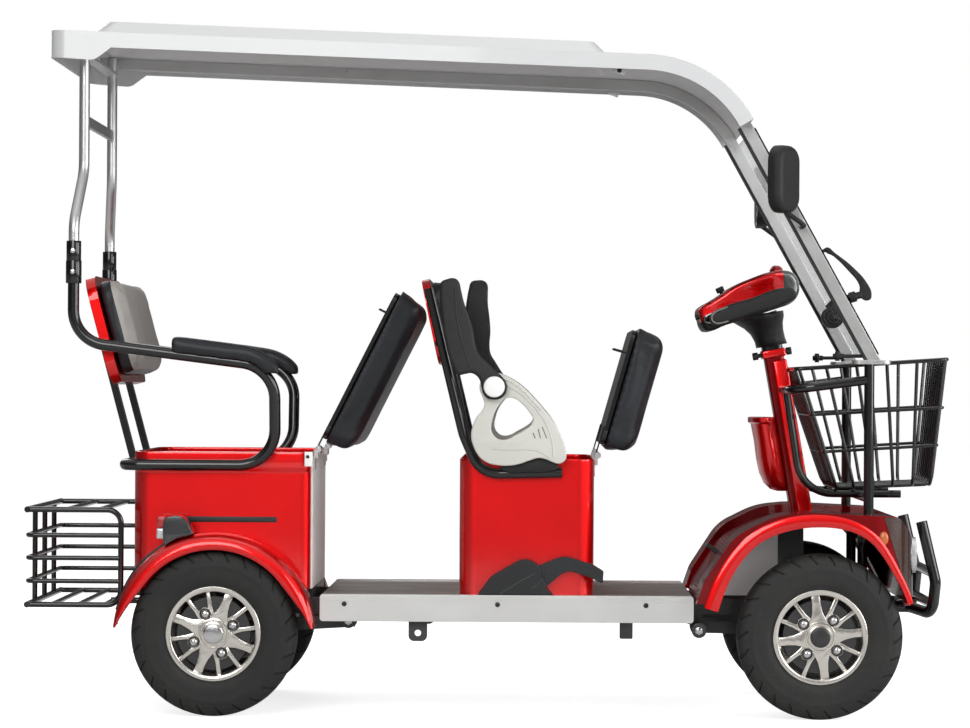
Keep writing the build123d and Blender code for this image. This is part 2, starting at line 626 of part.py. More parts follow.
# Basket levels: rear X, front X, rear Z, front Z and half width of each wire ring
BASKET_LEVELS = [
    {"x0": 862, "x1": 1106, "z0": 560, "z1": 571, "half": 178},
    {"x0": 832, "x1": 1117, "z0": 652, "z1": 670, "half": 190},
    {"x0": 800, "x1": 1129, "z0": 744, "z1": 764, "half": 202},
    {"x0": 761, "x1": 1137.1, "z0": 858, "z1": 884, "half": 216},
]


# Front frame: uprights under the pillar feet, a rear U bar and the basket cradle
def make_front_frame():
    r = FRAME_TUBE_R
    foot = PILLAR_FOOT_Z - 10
    upright = [(FRAME_X, -PILLAR_Y, foot), (FRAME_X, -PILLAR_Y, 455),
               (FRAME_X, -FRONT_RAIL_Y, 455), (FRAME_X, -FRONT_RAIL_Y, RAIL_Z1)]
    frame = tube(upright, [40, 40], r)
    cradle_r = r - 3
    cradle_z = BASKET_LEVELS[0]["z0"] - BASKET_WIRE_R - 0.5 - cradle_r - 0.3
    cradle = [(742, -150, 806), (782, -150, cradle_z), (1030, -150, cradle_z)]
    frame += tube(cradle, [90], cradle_r)
    bar = [(FRAME_X, -PILLAR_Y, 832), (742, -PILLAR_Y, 806), (742, -30, 806)]
    frame += tube(bar, [60], r - 1)
    frame += left(frame)
    frame += cross_rod(FRAME_X, 540, -PILLAR_Y, PILLAR_Y, r - 1)
    return frame


NODES["front_frame"] = make_front_frame()

# Basket: five wire panels; the side panels carry the corners and the others end just short of them
BASKET_SEAT = 0.4


def ring_corners(level):
    half = level["half"]
    rear, front = (level["x0"], level["z0"]), (level["x1"], level["z1"])
    return [(rear[0], -half, rear[1]), (front[0], -half, front[1]),
            (front[0], half, front[1]), (rear[0], half, rear[1])]


def between(p, q, share):
    return tuple(a + (b - a) * share for a, b in zip(p, q))


def shortened(p, q, cut):
    """Both ends of a line drawn in by a length."""
    share = cut / (Vector(*q) - Vector(*p)).length
    return between(p, q, share), between(p, q, 1 - share)


def rail_r(level):
    return BASKET_RIM_R if level is BASKET_LEVELS[-1] else BASKET_WIRE_R + 0.5


def make_panel(k, count, corners):
    """One wall of the basket between two ring corners, with its upright wires."""
    panel = None
    for level in BASKET_LEVELS:
        p, q = ring_corners(level)[k], ring_corners(level)[(k + 1) % 4]
        if not corners:
            p, q = shortened(p, q, rail_r(level) + 0.4 + BASKET_SEAT)
        rail = rod(p, q, rail_r(level))
        panel = rail if panel is None else panel + rail
        for end in (p, q) if corners else ():
            panel += Pos(*end) * Sphere(rail_r(level) + 0.4)
    low, high = [ring_corners(BASKET_LEVELS[i]) for i in (0, -1)]
    for step in range(count + 1):
        if corners or 0 < step < count:
            foot, head = [between(ring[k], ring[(k + 1) % 4], step / count) for ring in (low, high)]
            panel += rod(foot, head, BASKET_WIRE_R)
    return panel


def make_basket_floor():
    low = ring_corners(BASKET_LEVELS[0])
    reach = rail_r(BASKET_LEVELS[0]) + BASKET_SEAT
    floor = None
    for share in (0.2, 0.4, 0.6, 0.8):
        ends = between(low[0], low[3], share), between(low[1], low[2], share)
        wire = rod(*shortened(*ends, reach), BASKET_WIRE_R - 0.4)
        floor = wire if floor is None else floor + wire
    for share in (0.3, 0.7):
        ends = between(low[0], low[1], share), between(low[3], low[2], share)
        floor += rod(*shortened(*ends, reach), BASKET_WIRE_R)
    return floor


def make_basket():
    rows = [(0, 5, True), (1, 6, False), (2, 5, True), (3, 6, False)]
    return several(*[make_panel(*row) for row in rows], make_basket_floor())


NODES["basket"] = make_basket()

# Front bumper: two bent side tubes and two cross tubes
bumper_side = [(1010, -FRONT_RAIL_Y + 40, 262), (1058, -FRONT_RAIL_Y + 40, 262), (1104, -FRONT_RAIL_Y - 60, 250),
               (1112, -FRONT_RAIL_Y - 60, 330), (1076, -FRONT_RAIL_Y - 60, 480)]
bumper = tube(bumper_side, [20, 30, 60], 14)
bumper += left(bumper)
for bumper_x, bumper_z in ((1106, 352), (1104, 275)):
    bumper += cross_rod(bumper_x, bumper_z, -FRONT_RAIL_Y - 60, FRONT_RAIL_Y + 60, 12)
NODES["front_bumper"] = bumper

# Steering column casing with a storage pouch behind it
COLUMN_PLANE = Plane(origin=(COLUMN_TOP[0], 0, COLUMN_TOP[1]), x_dir=(0, 1, 0),
                     z_dir=(math.sin(math.radians(COLUMN_LEAN)), 0, -math.cos(math.radians(COLUMN_LEAN))))


def along_column(face, start, end):
    """A face made solid along the steering axis, measured down from the column's top."""
    return extrude(COLUMN_PLANE.offset(start) * face, end - start)


well_top = slab(Pos(0, -WELL_DROP) * outline(COWL_SIDE), -WELL_HALF, WELL_HALF)
casing = along_column(RectangleRounded(60, COLUMN_W, 10), 0, COLUMN_LONG) - along_column(Circle(STEM_R + 0.3), 0, 200)
NODES["steering_column"] = casing - well_top
POUCH = [(652, 736, 12), (672, 628, 30), (694, 572, 30), (730, 540, 10), (757, 540, 0), (722.6, 736, 0)]
pouch = slab(outline(POUCH), -88, 88)
pouch_inside = [(658, 745, 0), (678, 629, 26), (699, 576, 26), (732, 546, 8), (750, 546, 0), (715, 745, 0)]
pouch -= slab(outline(pouch_inside), -83, 83)
NODES["column_pouch"] = pouch - along_column(RectangleRounded(60, COLUMN_W, 10), 0, COLUMN_LONG)

# Moving head: dash housing, wrap-round handle, neck and stem
DASH = [(521, 1004, 8), (541, 950, 10), (748, 1016, 20), (776, 1048, 20), (766, 1104, 10), (700, 1116, 20),
        (612, 1068, 60)]
DASH_PLAN = [(515, -128, 40), (640, -132, 60), (778, -92, 30), (778, 92, 30), (640, 132, 60), (515, 128, 40)]


def make_handle():
    points = [(705, -96), (742, -206), (548, -206), (548, -96)]
    path = [(x, y, 1012 + (x - 650) * math.tan(math.radians(16))) for x, y in points]
    handle = tube(path, [52, 52], 13)
    return handle + left(handle)


HANDLE = make_handle()
dash = slab(outline(DASH), -200, 200) & column(outline(DASH_PLAN), 900, 1200)
NODES["dash_housing"] = dash - HANDLE
NODES["handle_bar"] = HANDLE - dash
neck = along_column(RectangleRounded(70, 52, 14), -110, -6)
NODES["steering_stem"] = (neck + along_column(Circle(STEM_R), -10, 190)) - dash


# Cushions are drawn closed, then tipped to the photo's open position
def make_cushion(x0, x1, half, seat_z, thick, hinge, angle):
    pad = column(Pos((x0 + x1) / 2, 0) * RectangleRounded(x1 - x0, 2 * half, 46), seat_z + PAN_T, seat_z + thick)
    pad = fillet(pad.faces().sort_by(Axis.Z)[-1].edges(), 22)
    pan = column(Pos((x0 + x1) / 2, 0) * RectangleRounded(x1 - x0 - 30, 2 * half - 30, 36), seat_z, seat_z + PAN_T)
    for y in (-half + 90, half - 90):
        pan += block(x1 - 60, hinge[0], y - 18, y + 18, seat_z - 3, seat_z)
        pan += cross_rod(hinge[0], hinge[1], y - 18, y + 18, 8)
        pan -= cross_rod(hinge[0], hinge[1], y - 20, y + 20, HINGE_PIN_R + RUN_FIT)
    loop = [(-30, seat_z), (-30, seat_z - 28), (30, seat_z - 28), (30, seat_z)]
    pan += tube([(x0 + 70, y, z) for y, z in loop], [10, 10], 3)
    return turned(pad, hinge, angle), turned(pan, hinge, angle)


NODES["rear_cushion"], NODES["rear_cushion_pan"] = make_cushion(
    TRUNK_X0 + 4, TRUNK_X1 - 4, REAR_CUSHION_HALF, TRUNK_Z1 + CUSHION_GAP, REAR_CUSHION_T, REAR_HINGE, REAR_OPEN)
NODES["driver_cushion"], NODES["driver_cushion_pan"] = make_cushion(
    BOX_X0 + 4, BOX_X1 - 4, DRIVER_CUSHION_HALF, BOX_Z1 + CUSHION_GAP, DRIVER_CUSHION_T, DRIVER_HINGE, DRIVER_OPEN)


def make_hinges(wall_x, hinge, half, top):
    """Fixed leaves on the box wall with the pins the pans turn on."""
    leaves = []
    for y in (-half + 90, half - 90):
        leaf = block(wall_x, wall_x + 3, y - 30, y + 30, top - 40, top)
        for side in (-24.3, 24.3):
            leaf += cross_rod(hinge[0], hinge[1], y + side - 5.7, y + side + 5.7, 8)
            leaf += block(wall_x, hinge[0], y + side - 5.7, y + side + 5.7, top - 12, hinge[1] - 2)
        leaf += cross_rod(hinge[0], hinge[1], y - 28, y + 28, HINGE_PIN_R)
        leaves.append(leaf)
    return several(*leaves)


NODES["seat_hinges"] = several(make_hinges(TRUNK_X1, REAR_HINGE, REAR_CUSHION_HALF, TRUNK_Z1 - 4),
                               make_hinges(BOX_X1, DRIVER_HINGE, DRIVER_CUSHION_HALF, BOX_Z1 - 4))


# Driver's backrest on an L tube frame, ivory guards and raised armrests
def make_seat_frame():
    y = SEAT_TUBE_Y
    side = tube([(-150, -y, 1050), (-62, -y, 690), (-20, -y, 594), (180, -y, 599)], [140, 70], SEAT_TUBE_R)
    frame = side + left(side)
    lean = math.tan(math.radians(SEAT_LEAN))
    for z in (915, 1030):
        x = SEAT_BACK_FOOT[0] - (z - SEAT_BACK_FOOT[1]) * lean - SEAT_SHELL_T / 2
        for inner, outer in ((SEAT_BACK_HALF - 12, y), (-y, 12 - SEAT_BACK_HALF)):
            frame += cross_rod(x, z, inner, outer, 7)
    return frame


NODES["seat_frame"] = make_seat_frame()
seat_shell = leaning(SEAT_BACK_FOOT, SEAT_LEAN, -SEAT_SHELL_T, 0, 0, SEAT_BACK_TALL, SEAT_BACK_HALF, 60)
NODES["driver_backrest_shell"] = seat_shell - NODES["seat_frame"]
NODES["driver_backrest_pad"] = shaped_pad(
    leaning(SEAT_BACK_FOOT, SEAT_LEAN, 0, SEAT_PAD_T, 6, SEAT_BACK_TALL - 4, SEAT_BACK_HALF - 8, 54), 18)

GUARD = [(-42, 690, 20), (-12, 764, 24), (-30, 815, 20), (0, 850, 26), (62, 842, 40), (132, 762, 60),
         (162, 640, 20), (140, 616, 10), (76, 634, 30), (10, 614, 20)]
GUARD_HOLE = [(8, 748, 14), (42, 792, 16), (106, 744, 18), (84, 690, 20), (22, 672, 16)]
guard = slab(outline(GUARD) - outline(GUARD_HOLE), -GUARD_Y0 - GUARD_T, -GUARD_Y0)
guard += block(40, 110, -GUARD_Y0, -SEAT_TUBE_Y, 596, 634) - NODES["seat_frame"]
guard += cross_rod(PIVOT[0], PIVOT[1], -GUARD_Y0 - GUARD_T - ARMREST_T - 6, -GUARD_Y0 - GUARD_T, PIVOT_PIN_R)
NODES["armrest_guards"] = pair(guard)

ARMREST = [(-122, 1000, 30), (-118, 1074, 12), (-78, 1074, 12), (-62, 1015, 30), (-44, 900, 30), (4, 836, 0),
           (-10, 796, 0), (-78, 846, 25), (-106, 912, 30)]
armrest_y = GUARD_Y0 + GUARD_T + 0.5
arm = slab(outline(ARMREST) + Pos(*PIVOT) * Circle(PIVOT_R), -armrest_y - ARMREST_T, -armrest_y)
arm -= cross_rod(PIVOT[0], PIVOT[1], -500, 0, PIVOT_PIN_R + RUN_FIT)
NODES["armrest_right"] = turned(arm, PIVOT, ARMREST_LEAN["right"])
NODES["armrest_left"] = turned(left(arm), PIVOT, ARMREST_LEAN["left"])


# Parking brake on the side of the seat box: a leaf-shaped cover with a curved grip; a foot pedal in the footwell
BRAKE_T = 27
BRAKE_COVER = [(-25, 299, 0), (8, 344, 50), (90, 392, 40), (122, 374, 14), (142, 318, 10), (160, 299, 0)]
BRAKE_GRIP = [(112, 366, 0), (186, 396, 60), (258, 374, 60), (284, 358, 6), (282, 327, 4), (252, 342, 60),
              (192, 362, 40), (136, 312, 10)]
brake_y = BOX_HALF + 0.3
cover = slab(outline(BRAKE_COVER), -brake_y - BRAKE_T, -brake_y)
parking_brake = cover + slab(outline(BRAKE_GRIP), -brake_y - BRAKE_T + 4, -brake_y - 2)
pedal = Pos(566, -90, 402) * Rot(0, 34, 0) * Box(46, 60, 10)
pedal += rod((566, -90, 400), (604, -90, 384), 6)
NODES["brake_controls"] = several(parking_brake, pedal - well_top)


# Mirrors on the pillars and the wiper on the screen
def make_mirror(yaw):
    plane = Plane(origin=(700, -MIRROR_Y, 1318), x_dir=(0, 1, 0), z_dir=(-1, 0, 0))
    shell = extrude(plane.offset(-34) * RectangleRounded(104, 164, 40), 34)
    shell = fillet(shell.faces().sort_by(Axis.X)[-1].edges(), 18)
    glass = extrude(plane * RectangleRounded(94, 154, 36), 2)
    turn = Pos(717, -MIRROR_Y, 1318) * Rot(0, 0, yaw) * Pos(-717, MIRROR_Y, -1318)
    shell, glass = turn * shell, turn * glass
    stalk = tube([(765, -PILLAR_Y - 15, 1206), (765, -MIRROR_Y, 1206), (717, -MIRROR_Y, 1240)], [20], 6)
    return (shell + stalk), glass


mirror_right, glass_right = make_mirror(-36)
mirror_left, glass_left = make_mirror(0)
NODES["mirrors"] = several(mirror_right, left(mirror_left))
NODES["mirror_glasses"] = several(glass_right, left(glass_left))
pillar_run = math.tan(math.radians(PILLAR_LEAN))
screen_top = bend_point(ROOF_R - SKIN - 0.3, BEND_END)


def screen_x(z):
    """X of the windscreen's outer face at a height."""
    return screen_top[0] + (screen_top[1] - z) * pillar_run + GLASS_T / math.cos(math.radians(PILLAR_LEAN))


wiper = rod((screen_x(1040) + 8, -60, 1044), (screen_x(1040) + 26, -60, 1054), 12)
wiper += rod((screen_x(1040) + 14, -60, 1048), (screen_x(1200) + 14, -110, 1200), 5)
wiper += rod((screen_x(1090) + 6, -112, 1090), (screen_x(1340) + 6, -112, 1340), 5)
motor_x = screen_x(990) - 46
wiper_motor = cross_rod(motor_x, 985, -110, -40, 24) + block(motor_x, screen_x(1000) - 4.9, -90, -60, 975, 1000)
NODES["wiper"] = several(wiper, wiper_motor)

if __name__ == "__main__":
    os.makedirs("parts", exist_ok=True)
    for name, solid in NODES.items():
        solid.label = name
        export_step(solid, f"parts/{name}.step")
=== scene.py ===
import bmesh
import bpy
import math
from mathutils import Matrix, Vector


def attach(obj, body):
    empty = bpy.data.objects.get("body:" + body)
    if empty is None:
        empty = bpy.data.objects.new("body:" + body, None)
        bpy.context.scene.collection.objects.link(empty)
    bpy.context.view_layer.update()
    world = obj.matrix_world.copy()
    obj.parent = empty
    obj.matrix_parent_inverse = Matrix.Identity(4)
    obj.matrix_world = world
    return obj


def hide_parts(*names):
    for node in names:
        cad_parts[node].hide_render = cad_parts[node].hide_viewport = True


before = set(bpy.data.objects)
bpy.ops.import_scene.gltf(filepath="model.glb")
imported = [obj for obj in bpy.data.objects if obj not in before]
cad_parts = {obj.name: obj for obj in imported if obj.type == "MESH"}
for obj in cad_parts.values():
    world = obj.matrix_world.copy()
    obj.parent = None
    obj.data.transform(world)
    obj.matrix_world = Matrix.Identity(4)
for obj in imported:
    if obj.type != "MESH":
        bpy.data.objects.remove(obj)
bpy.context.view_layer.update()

# Studio: a long lens at seat height on the vehicle's right side, a pale floor and soft lamps.
# The lens is shifted a little because the vehicle stands off the middle of the picture.
PICTURE_W, PICTURE_H = 970, 728
LENS_PIXELS = 3355
OPTICAL_CENTRE = (535, 383)
SENSOR_W = 36
FLOOR_SIZE = 40


def link(thing):
    """Put an object in the scene."""
    bpy.context.scene.collection.objects.link(thing)


camera_data = bpy.data.cameras.new("camera")
camera_data.sensor_width = SENSOR_W
camera_data.lens = SENSOR_W * LENS_PIXELS / PICTURE_W
camera_data.shift_x = (PICTURE_W / 2 - OPTICAL_CENTRE[0]) / PICTURE_W
camera_data.shift_y = (OPTICAL_CENTRE[1] - PICTURE_H / 2) / PICTURE_W
camera = bpy.data.objects.new("camera", camera_data)
camera.location = (0.1125, -8.555, 0.819)
camera.rotation_euler = (math.radians(90), math.radians(-0.36), 0)
link(camera)
bpy.context.scene.camera = camera
bpy.context.scene.view_settings.view_transform = "Standard"


def set_inputs(tree, node, inputs):
    """Give a node's inputs plain values, or sockets to link from."""
    for key, value in inputs.items():
        if isinstance(value, bpy.types.NodeSocket):
            tree.links.new(value, node.inputs[key])
        else:
            node.inputs[key].default_value = value


def add(tree, kind, inputs=None, **settings):
    """A node with its settings and inputs."""
    node = tree.nodes.new("ShaderNode" + kind)
    for key, value in settings.items():
        setattr(node, key, value)
    set_inputs(tree, node, inputs or {})
    return node


def mapped(tree, value, start, end, low=0.0, high=1.0):
    """A value's range from start to end mapped onto low to high; returns the socket."""
    limits = {"From Min": start, "From Max": end, "To Min": low, "To Max": high}
    return add(tree, "MapRange", {"Value": value, **limits}).outputs[0]


def new_piece(name, bm, body):
    """A bmesh made into a piece that rides on a body."""
    mesh = bpy.data.meshes.new(name)
    bm.to_mesh(mesh)
    bm.free()
    piece = bpy.data.objects.new(name, mesh)
    link(piece)
    if body:
        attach(piece, body)
    return piece


def soft_lamp(name, place, aim, size, watts):
    """A square lamp that looks at a point."""
    data = bpy.data.lights.new(name, "AREA")
    data.size, data.energy = size, watts
    lamp = bpy.data.objects.new(name, data)
    lamp.location = place
    lamp.rotation_euler = (Vector(aim) - Vector(place)).to_track_quat("-Z", "Y").to_euler()
    link(lamp)


soft_lamp("key_lamp", (-1.6, -6.5, 3.4), (0, 0, 0.7), 3.2, 205)
soft_lamp("fill_lamp", (4.2, -4.5, 2.2), (0.3, 0, 0.7), 2.6, 95)
soft_lamp("front_lamp", (5.4, -1.6, 1.9), (0, 0, 0.6), 2.6, 140)
soft_lamp("back_lamp", (-2.5, 5.5, 3.6), (0, 0, 0.8), 3.0, 70)
soft_lamp("top_lamp", (0, 0, 5.2), (0, 0, 0), 3.4, 45)

world = bpy.data.worlds.new("studio")
bpy.context.scene.world = world
world.use_nodes = True
sky = world.node_tree
rays = add(sky, "LightPath").outputs
way = add(sky, "SeparateXYZ", {0: add(sky, "TexCoord").outputs["Generated"]}).outputs
ceiling = mapped(sky, way["Z"], 0.3, 0.85, 0.08, 0.9)
panel = mapped(sky, way["Y"], -0.72, -0.97, 0.08, 0.2)
walls = add(sky, "Math", {0: ceiling, 1: panel}, operation="MAXIMUM")
plain = add(sky, "Math", {0: rays["Is Camera Ray"], 1: rays["Is Transmission Ray"]}, operation="MAXIMUM")
mirrored = add(sky, "Mix", {"Factor": rays["Is Glossy Ray"], "A": 0.3, "B": walls.outputs[0]})
level = add(sky, "Mix", {"Factor": plain.outputs[0], "A": mirrored.outputs[0], "B": 1.0})
set_inputs(sky, sky.nodes["Background"], {"Color": (1, 1, 1, 1), "Strength": level.outputs[0]})

bm = bmesh.new()
bmesh.ops.create_grid(bm, x_segments=1, y_segments=1, size=FLOOR_SIZE)
floor = new_piece("floor", bm, None)
pale = bpy.data.materials.new("pale_floor")
pale.use_nodes = True
glow = mapped(pale.node_tree, add(pale.node_tree, "LightPath").outputs["Is Camera Ray"], 0.0, 1.0, 0.0, 0.75)
set_inputs(pale.node_tree, pale.node_tree.nodes["Principled BSDF"], {
    "Base Color": (0.82, 0.82, 0.82, 1), "Roughness": 0.9, "Specular IOR Level": 0.1,
    "Emission Color": (1, 1, 1, 1), "Emission Strength": glow})
floor.data.materials.append(pale)


# Chassis, axles and steering gear: welded steel tube and plate, powder coated black.
# The coat is a little orange-peeled, rubbed at the edges and dusty on its upper faces.
def new_group(name, inputs, outputs):
    """An empty shader group with its sockets; returns the tree and its two end nodes."""
    tree = bpy.data.node_groups.new(name, "ShaderNodeTree")
    for label, kind, value in inputs:
        socket = tree.interface.new_socket(label, in_out="INPUT", socket_type="NodeSocket" + kind)
        socket.default_value = value
    for label, kind in outputs:
        tree.interface.new_socket(label, in_out="OUTPUT", socket_type="NodeSocket" + kind)
    return tree, tree.nodes.new("NodeGroupInput").outputs, tree.nodes.new("NodeGroupOutput")


def noise(tree, scale, detail, rough=0.5):
    """Noise over the object's own coordinates; returns the socket."""
    place = add(tree, "TexCoord").outputs["Object"]
    node = add(tree, "TexNoise", {"Vector": place, "Scale": scale, "Detail": detail, "Roughness": rough})
    return node.outputs["Fac"]


def product(tree, *factors):
    """Values multiplied in turn; returns the socket."""
    total = factors[0]
    for factor in factors[1:]:
        total = add(tree, "Math", {0: total, 1: factor}, operation="MULTIPLY").outputs[0]
    return total


def plus_product(tree, value, factor, start):
    """A start value plus a value times a factor; returns the socket."""
    return add(tree, "Math", {0: value, 1: factor, 2: start}, operation="MULTIPLY_ADD").outputs[0]


def blended(tree, share, first, second):
    """A colour between two; returns the socket."""
    return add(tree, "Mix", {"Factor": share, "A": first, "B": second}, data_type="RGBA").outputs["Result"]


def make_rubbed_edge():
    """Edges softened by a small radius, with a broken mask along them."""
    tree, given, out = new_group("rubbed_edge", [("Width", "Float", 0.002), ("Amount", "Float", 0.5)],
                                 [("Mask", "Float"), ("Normal", "Vector")])
    soft = add(tree, "Bevel", {"Radius": given["Width"]}, samples=4).outputs[0]
    face = add(tree, "NewGeometry").outputs["Normal"]
    turn = add(tree, "VectorMath", {0: soft, 1: face}, operation="DOT_PRODUCT").outputs["Value"]
    edge = mapped(tree, turn, 0.985, 0.8)
    spots = mapped(tree, noise(tree, 46.0, 5.0), 0.5, 0.72)
    set_inputs(tree, out, {"Mask": product(tree, edge, spots, given["Amount"]), "Normal": soft})
    return tree


def make_uneven_tone():
    """A slow drift between two colours and a fine drift in gloss."""
    tree, given, out = new_group(
        "uneven_tone",
        [("Colour", "Color", (0.5, 0.5, 0.5, 1)), ("Second", "Color", (0.4, 0.4, 0.4, 1)),
         ("Scale", "Float", 5.0), ("Roughness", "Float", 0.4), ("Gloss Drift", "Float", 0.1)],
        [("Colour", "Color"), ("Roughness", "Float")])
    drift = mapped(tree, noise(tree, given["Scale"], 3.0), 0.35, 0.65)
    centred = add(tree, "Math", {0: noise(tree, 37.0, 6.0), 1: 0.5}, operation="SUBTRACT").outputs[0]
    rough = plus_product(tree, centred, given["Gloss Drift"], given["Roughness"])
    colour = blended(tree, drift, given["Colour"], given["Second"])
    set_inputs(tree, out, {"Colour": colour, "Roughness": rough})
    return tree


def make_settled_dust():
    """Dust on upward faces, thicker near the ground."""
    tree, given, out = new_group(
        "settled_dust",
        [("Colour", "Color", (0.5, 0.5, 0.5, 1)), ("Dust", "Color", (0.34, 0.31, 0.27, 1)),
         ("Amount", "Float", 0.2)],
        [("Colour", "Color"), ("Mask", "Float")])
    place = add(tree, "TexCoord").outputs
    height = add(tree, "SeparateXYZ", {0: place["Object"]}).outputs["Z"]
    facing = add(tree, "SeparateXYZ", {0: place["Normal"]}).outputs["Z"]
    low = mapped(tree, height, 0.9, 0.1, 0.15, 1.0)
    up = mapped(tree, facing, 0.1, 0.95, 0.12, 1.0)
    patch = mapped(tree, noise(tree, 21.0, 8.0, 0.7), 0.38, 0.75)
    mask = product(tree, low, up, patch, given["Amount"])
    set_inputs(tree, out, {"Colour": blended(tree, mask, given["Colour"], given["Dust"]), "Mask": mask})
    return tree


def make_fine_grain():
    """Height of a moulded or sprayed surface: a fine grain over a slow ripple."""
    tree, given, out = new_group("fine_grain", [("Scale", "Float", 900.0), ("Ripple", "Float", 60.0)],
                                 [("Height", "Float")])
    layers = {0: noise(tree, given["Scale"], 2.0), 1: noise(tree, given["Ripple"], 1.0)}
    set_inputs(tree, out, {"Height": add(tree, "Math", layers, operation="ADD").outputs[0]})
    return tree


RUBBED_EDGE = make_rubbed_edge()
UNEVEN_TONE = make_uneven_tone()
SETTLED_DUST = make_settled_dust()
FINE_GRAIN = make_fine_grain()
COAT_ROUGHNESS = 0.06
DUST_DULLS = 0.5


def rgb(colour):
    """A colour with full alpha."""
    return (*colour, 1)


def finish(name, colour, second, rough, metal=0.0, coat=0.0, grain=(900, 60, 0.0002), edge=0.0015,
           rub=(0.3, (0.2, 0.2, 0.2)), dust=0.15, drift=0.1, tone=5.0, specular=0.5):
    """A rigid surface: uneven tone, rubbed edges, settled dust and a fine grain on one Principled shader.

    The grain is its fine scale, its ripple's scale and its height; the rub is its amount and its colour.
    """
    material = bpy.data.materials.new(name)
    material.use_nodes = True
    tree = material.node_tree
    tones = {"Colour": rgb(colour), "Second": rgb(second), "Scale": tone, "Roughness": rough,
             "Gloss Drift": drift}
    base = add(tree, "Group", tones, node_tree=UNEVEN_TONE).outputs
    worn = add(tree, "Group", {"Width": edge, "Amount": rub[0]}, node_tree=RUBBED_EDGE).outputs
    mixed = blended(tree, worn["Mask"], base["Colour"], rgb(rub[1]))
    dusty = add(tree, "Group", {"Colour": mixed, "Amount": dust}, node_tree=SETTLED_DUST).outputs
    height = add(tree, "Group", {"Scale": grain[0], "Ripple": grain[1]}, node_tree=FINE_GRAIN).outputs[0]
    bump = add(tree, "Bump", {"Distance": grain[2], "Height": height, "Normal": worn["Normal"]}).outputs[0]
    set_inputs(tree, tree.nodes["Principled BSDF"], {
        "Base Color": dusty["Colour"], "Normal": bump, "Metallic": metal, "Coat Weight": coat,
        "Roughness": plus_product(tree, dusty["Mask"], DUST_DULLS, base["Roughness"]),
        "Coat Roughness": COAT_ROUGHNESS, "Specular IOR Level": specular})
    return material


def dress(material, *nodes):
    """Give CAD nodes a finish."""
    for name in nodes:
        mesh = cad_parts[name].data
        mesh.materials.clear()
        mesh.materials.append(material)


frame_black = finish("frame_black", (0.012, 0.012, 0.013), (0.02, 0.02, 0.021), 0.42, coat=0.2,
                     grain=(500, 90, 0.0006), rub=(0.5, (0.25, 0.24, 0.23)), dust=0.5)
dress(frame_black, "chassis_frame", "front_axle", "rear_axle", "knuckle_right", "knuckle_left", "tie_rod")

# Drive motor and gearbox: sand-cast aluminium, bead blasted and left bare under the floor.
# Road dust has dulled it, so it is more grey than bright.
cast_grey = finish("cast_grey", (0.3, 0.3, 0.3), (0.22, 0.215, 0.21), 0.55, metal=0.7,
                   grain=(320, 120, 0.0012), rub=(0.5, (0.6, 0.6, 0.6)), dust=0.6)
dress(cast_grey, "drive_motor")

# Rims: cast aluminium wheels, turned bright on the lip and spoke faces and clear lacquered.
# Four wide and eight thin spokes run from the hub; four domed nuts hold each rim, a cap hides the bearing.
# Sections are (radius, Y) points with Y out of the wheel negative; spoke outlines are (radius, half width).
AXLE_Z, HALF_TRACK = 0.203, 0.34
WHEELS = [("front_right", 0.812, -1, -7), ("front_left", 0.812, 1, -7), ("rear_right", -0.668, -1, 22),
          ("rear_left", -0.668, 1, 22)]
LIP = [(0.108, -0.0395), (0.115, -0.0398), (0.116, -0.0412), (0.1158, -0.043), (0.1145, -0.044),
       (0.11, -0.044), (0.106, -0.0436), (0.1036, -0.042), (0.1024, -0.039), (0.102, -0.033),
       (0.102, 0.042), (0.106, 0.044), (0.115, 0.044), (0.116, 0.0425), (0.116, 0.041), (0.115, 0.04),
       (0.108, 0.04)]
HUB = [(0.0165, -0.016), (0.044, -0.016), (0.046, -0.03), (0.044, -0.0325), (0.0385, -0.033),
       (0.0375, -0.0362), (0.0335, -0.0368), (0.032, -0.0345), (0.029, -0.0345), (0.028, -0.0395),
       (0.0265, -0.04), (0.0, -0.04)]
CAP = [(0.0, -0.0452), (0.02, -0.045), (0.0235, -0.044), (0.025, -0.042), (0.025, -0.0345)]
NUT = [(0.0, -0.0428), (0.005, -0.0422), (0.0084, -0.0402), (0.0096, -0.037), (0.0098, -0.033)]
NUT_BOSS = [(0.0, -0.0318), (0.015, -0.0318), (0.0156, -0.03), (0.0156, -0.014)]
NUT_SEAT = [(0.0102, -0.032), (0.0112, -0.0352), (0.0132, -0.0356), (0.0142, -0.034), (0.0144, -0.031)]
NUT_CIRCLE = 0.052
NUT_TURNS = [math.radians(45 + 90 * k) for k in range(4)]
NUT_PLACES = [(NUT_CIRCLE * math.cos(turn), NUT_CIRCLE * math.sin(turn)) for turn in NUT_TURNS]
DRUM = [(0.04, -0.014), (0.09, -0.014), (0.092, -0.018), (0.09, -0.022), (0.04, -0.022)]
WIDE_SPOKE = [(0.03, -0.025), (0.046, -0.018), (0.062, -0.0128), (0.082, -0.0104), (0.1025, -0.0108),
              (0.1025, 0.0108), (0.082, 0.0104), (0.062, 0.0128), (0.046, 0.018), (0.03, 0.025)]
THIN_SPOKE = [(0.046, -0.0086), (0.07, -0.0052), (0.1025, -0.0052), (0.1025, 0.0052), (0.07, 0.0052),
              (0.046, 0.0086)]
THIN_SPOKES_AT = 15
SPOKE_BACK, WIDE_FACE, THIN_FACE = -0.014, -0.033, -0.03
SPOKE_SOFT = 0.0018
WELD = 0.00002
alloy = finish("machined_alloy", (0.7, 0.67, 0.62), (0.62, 0.595, 0.55), 0.24, metal=1.0, coat=0.3,
               grain=(700, 140, 0.00004), edge=0.001, rub=(0.12, (0.8, 0.8, 0.8)), dust=0.05)
nut_chrome = finish("nut_chrome", (0.6, 0.6, 0.6), (0.52, 0.52, 0.52), 0.12, metal=1.0, dust=0.05)
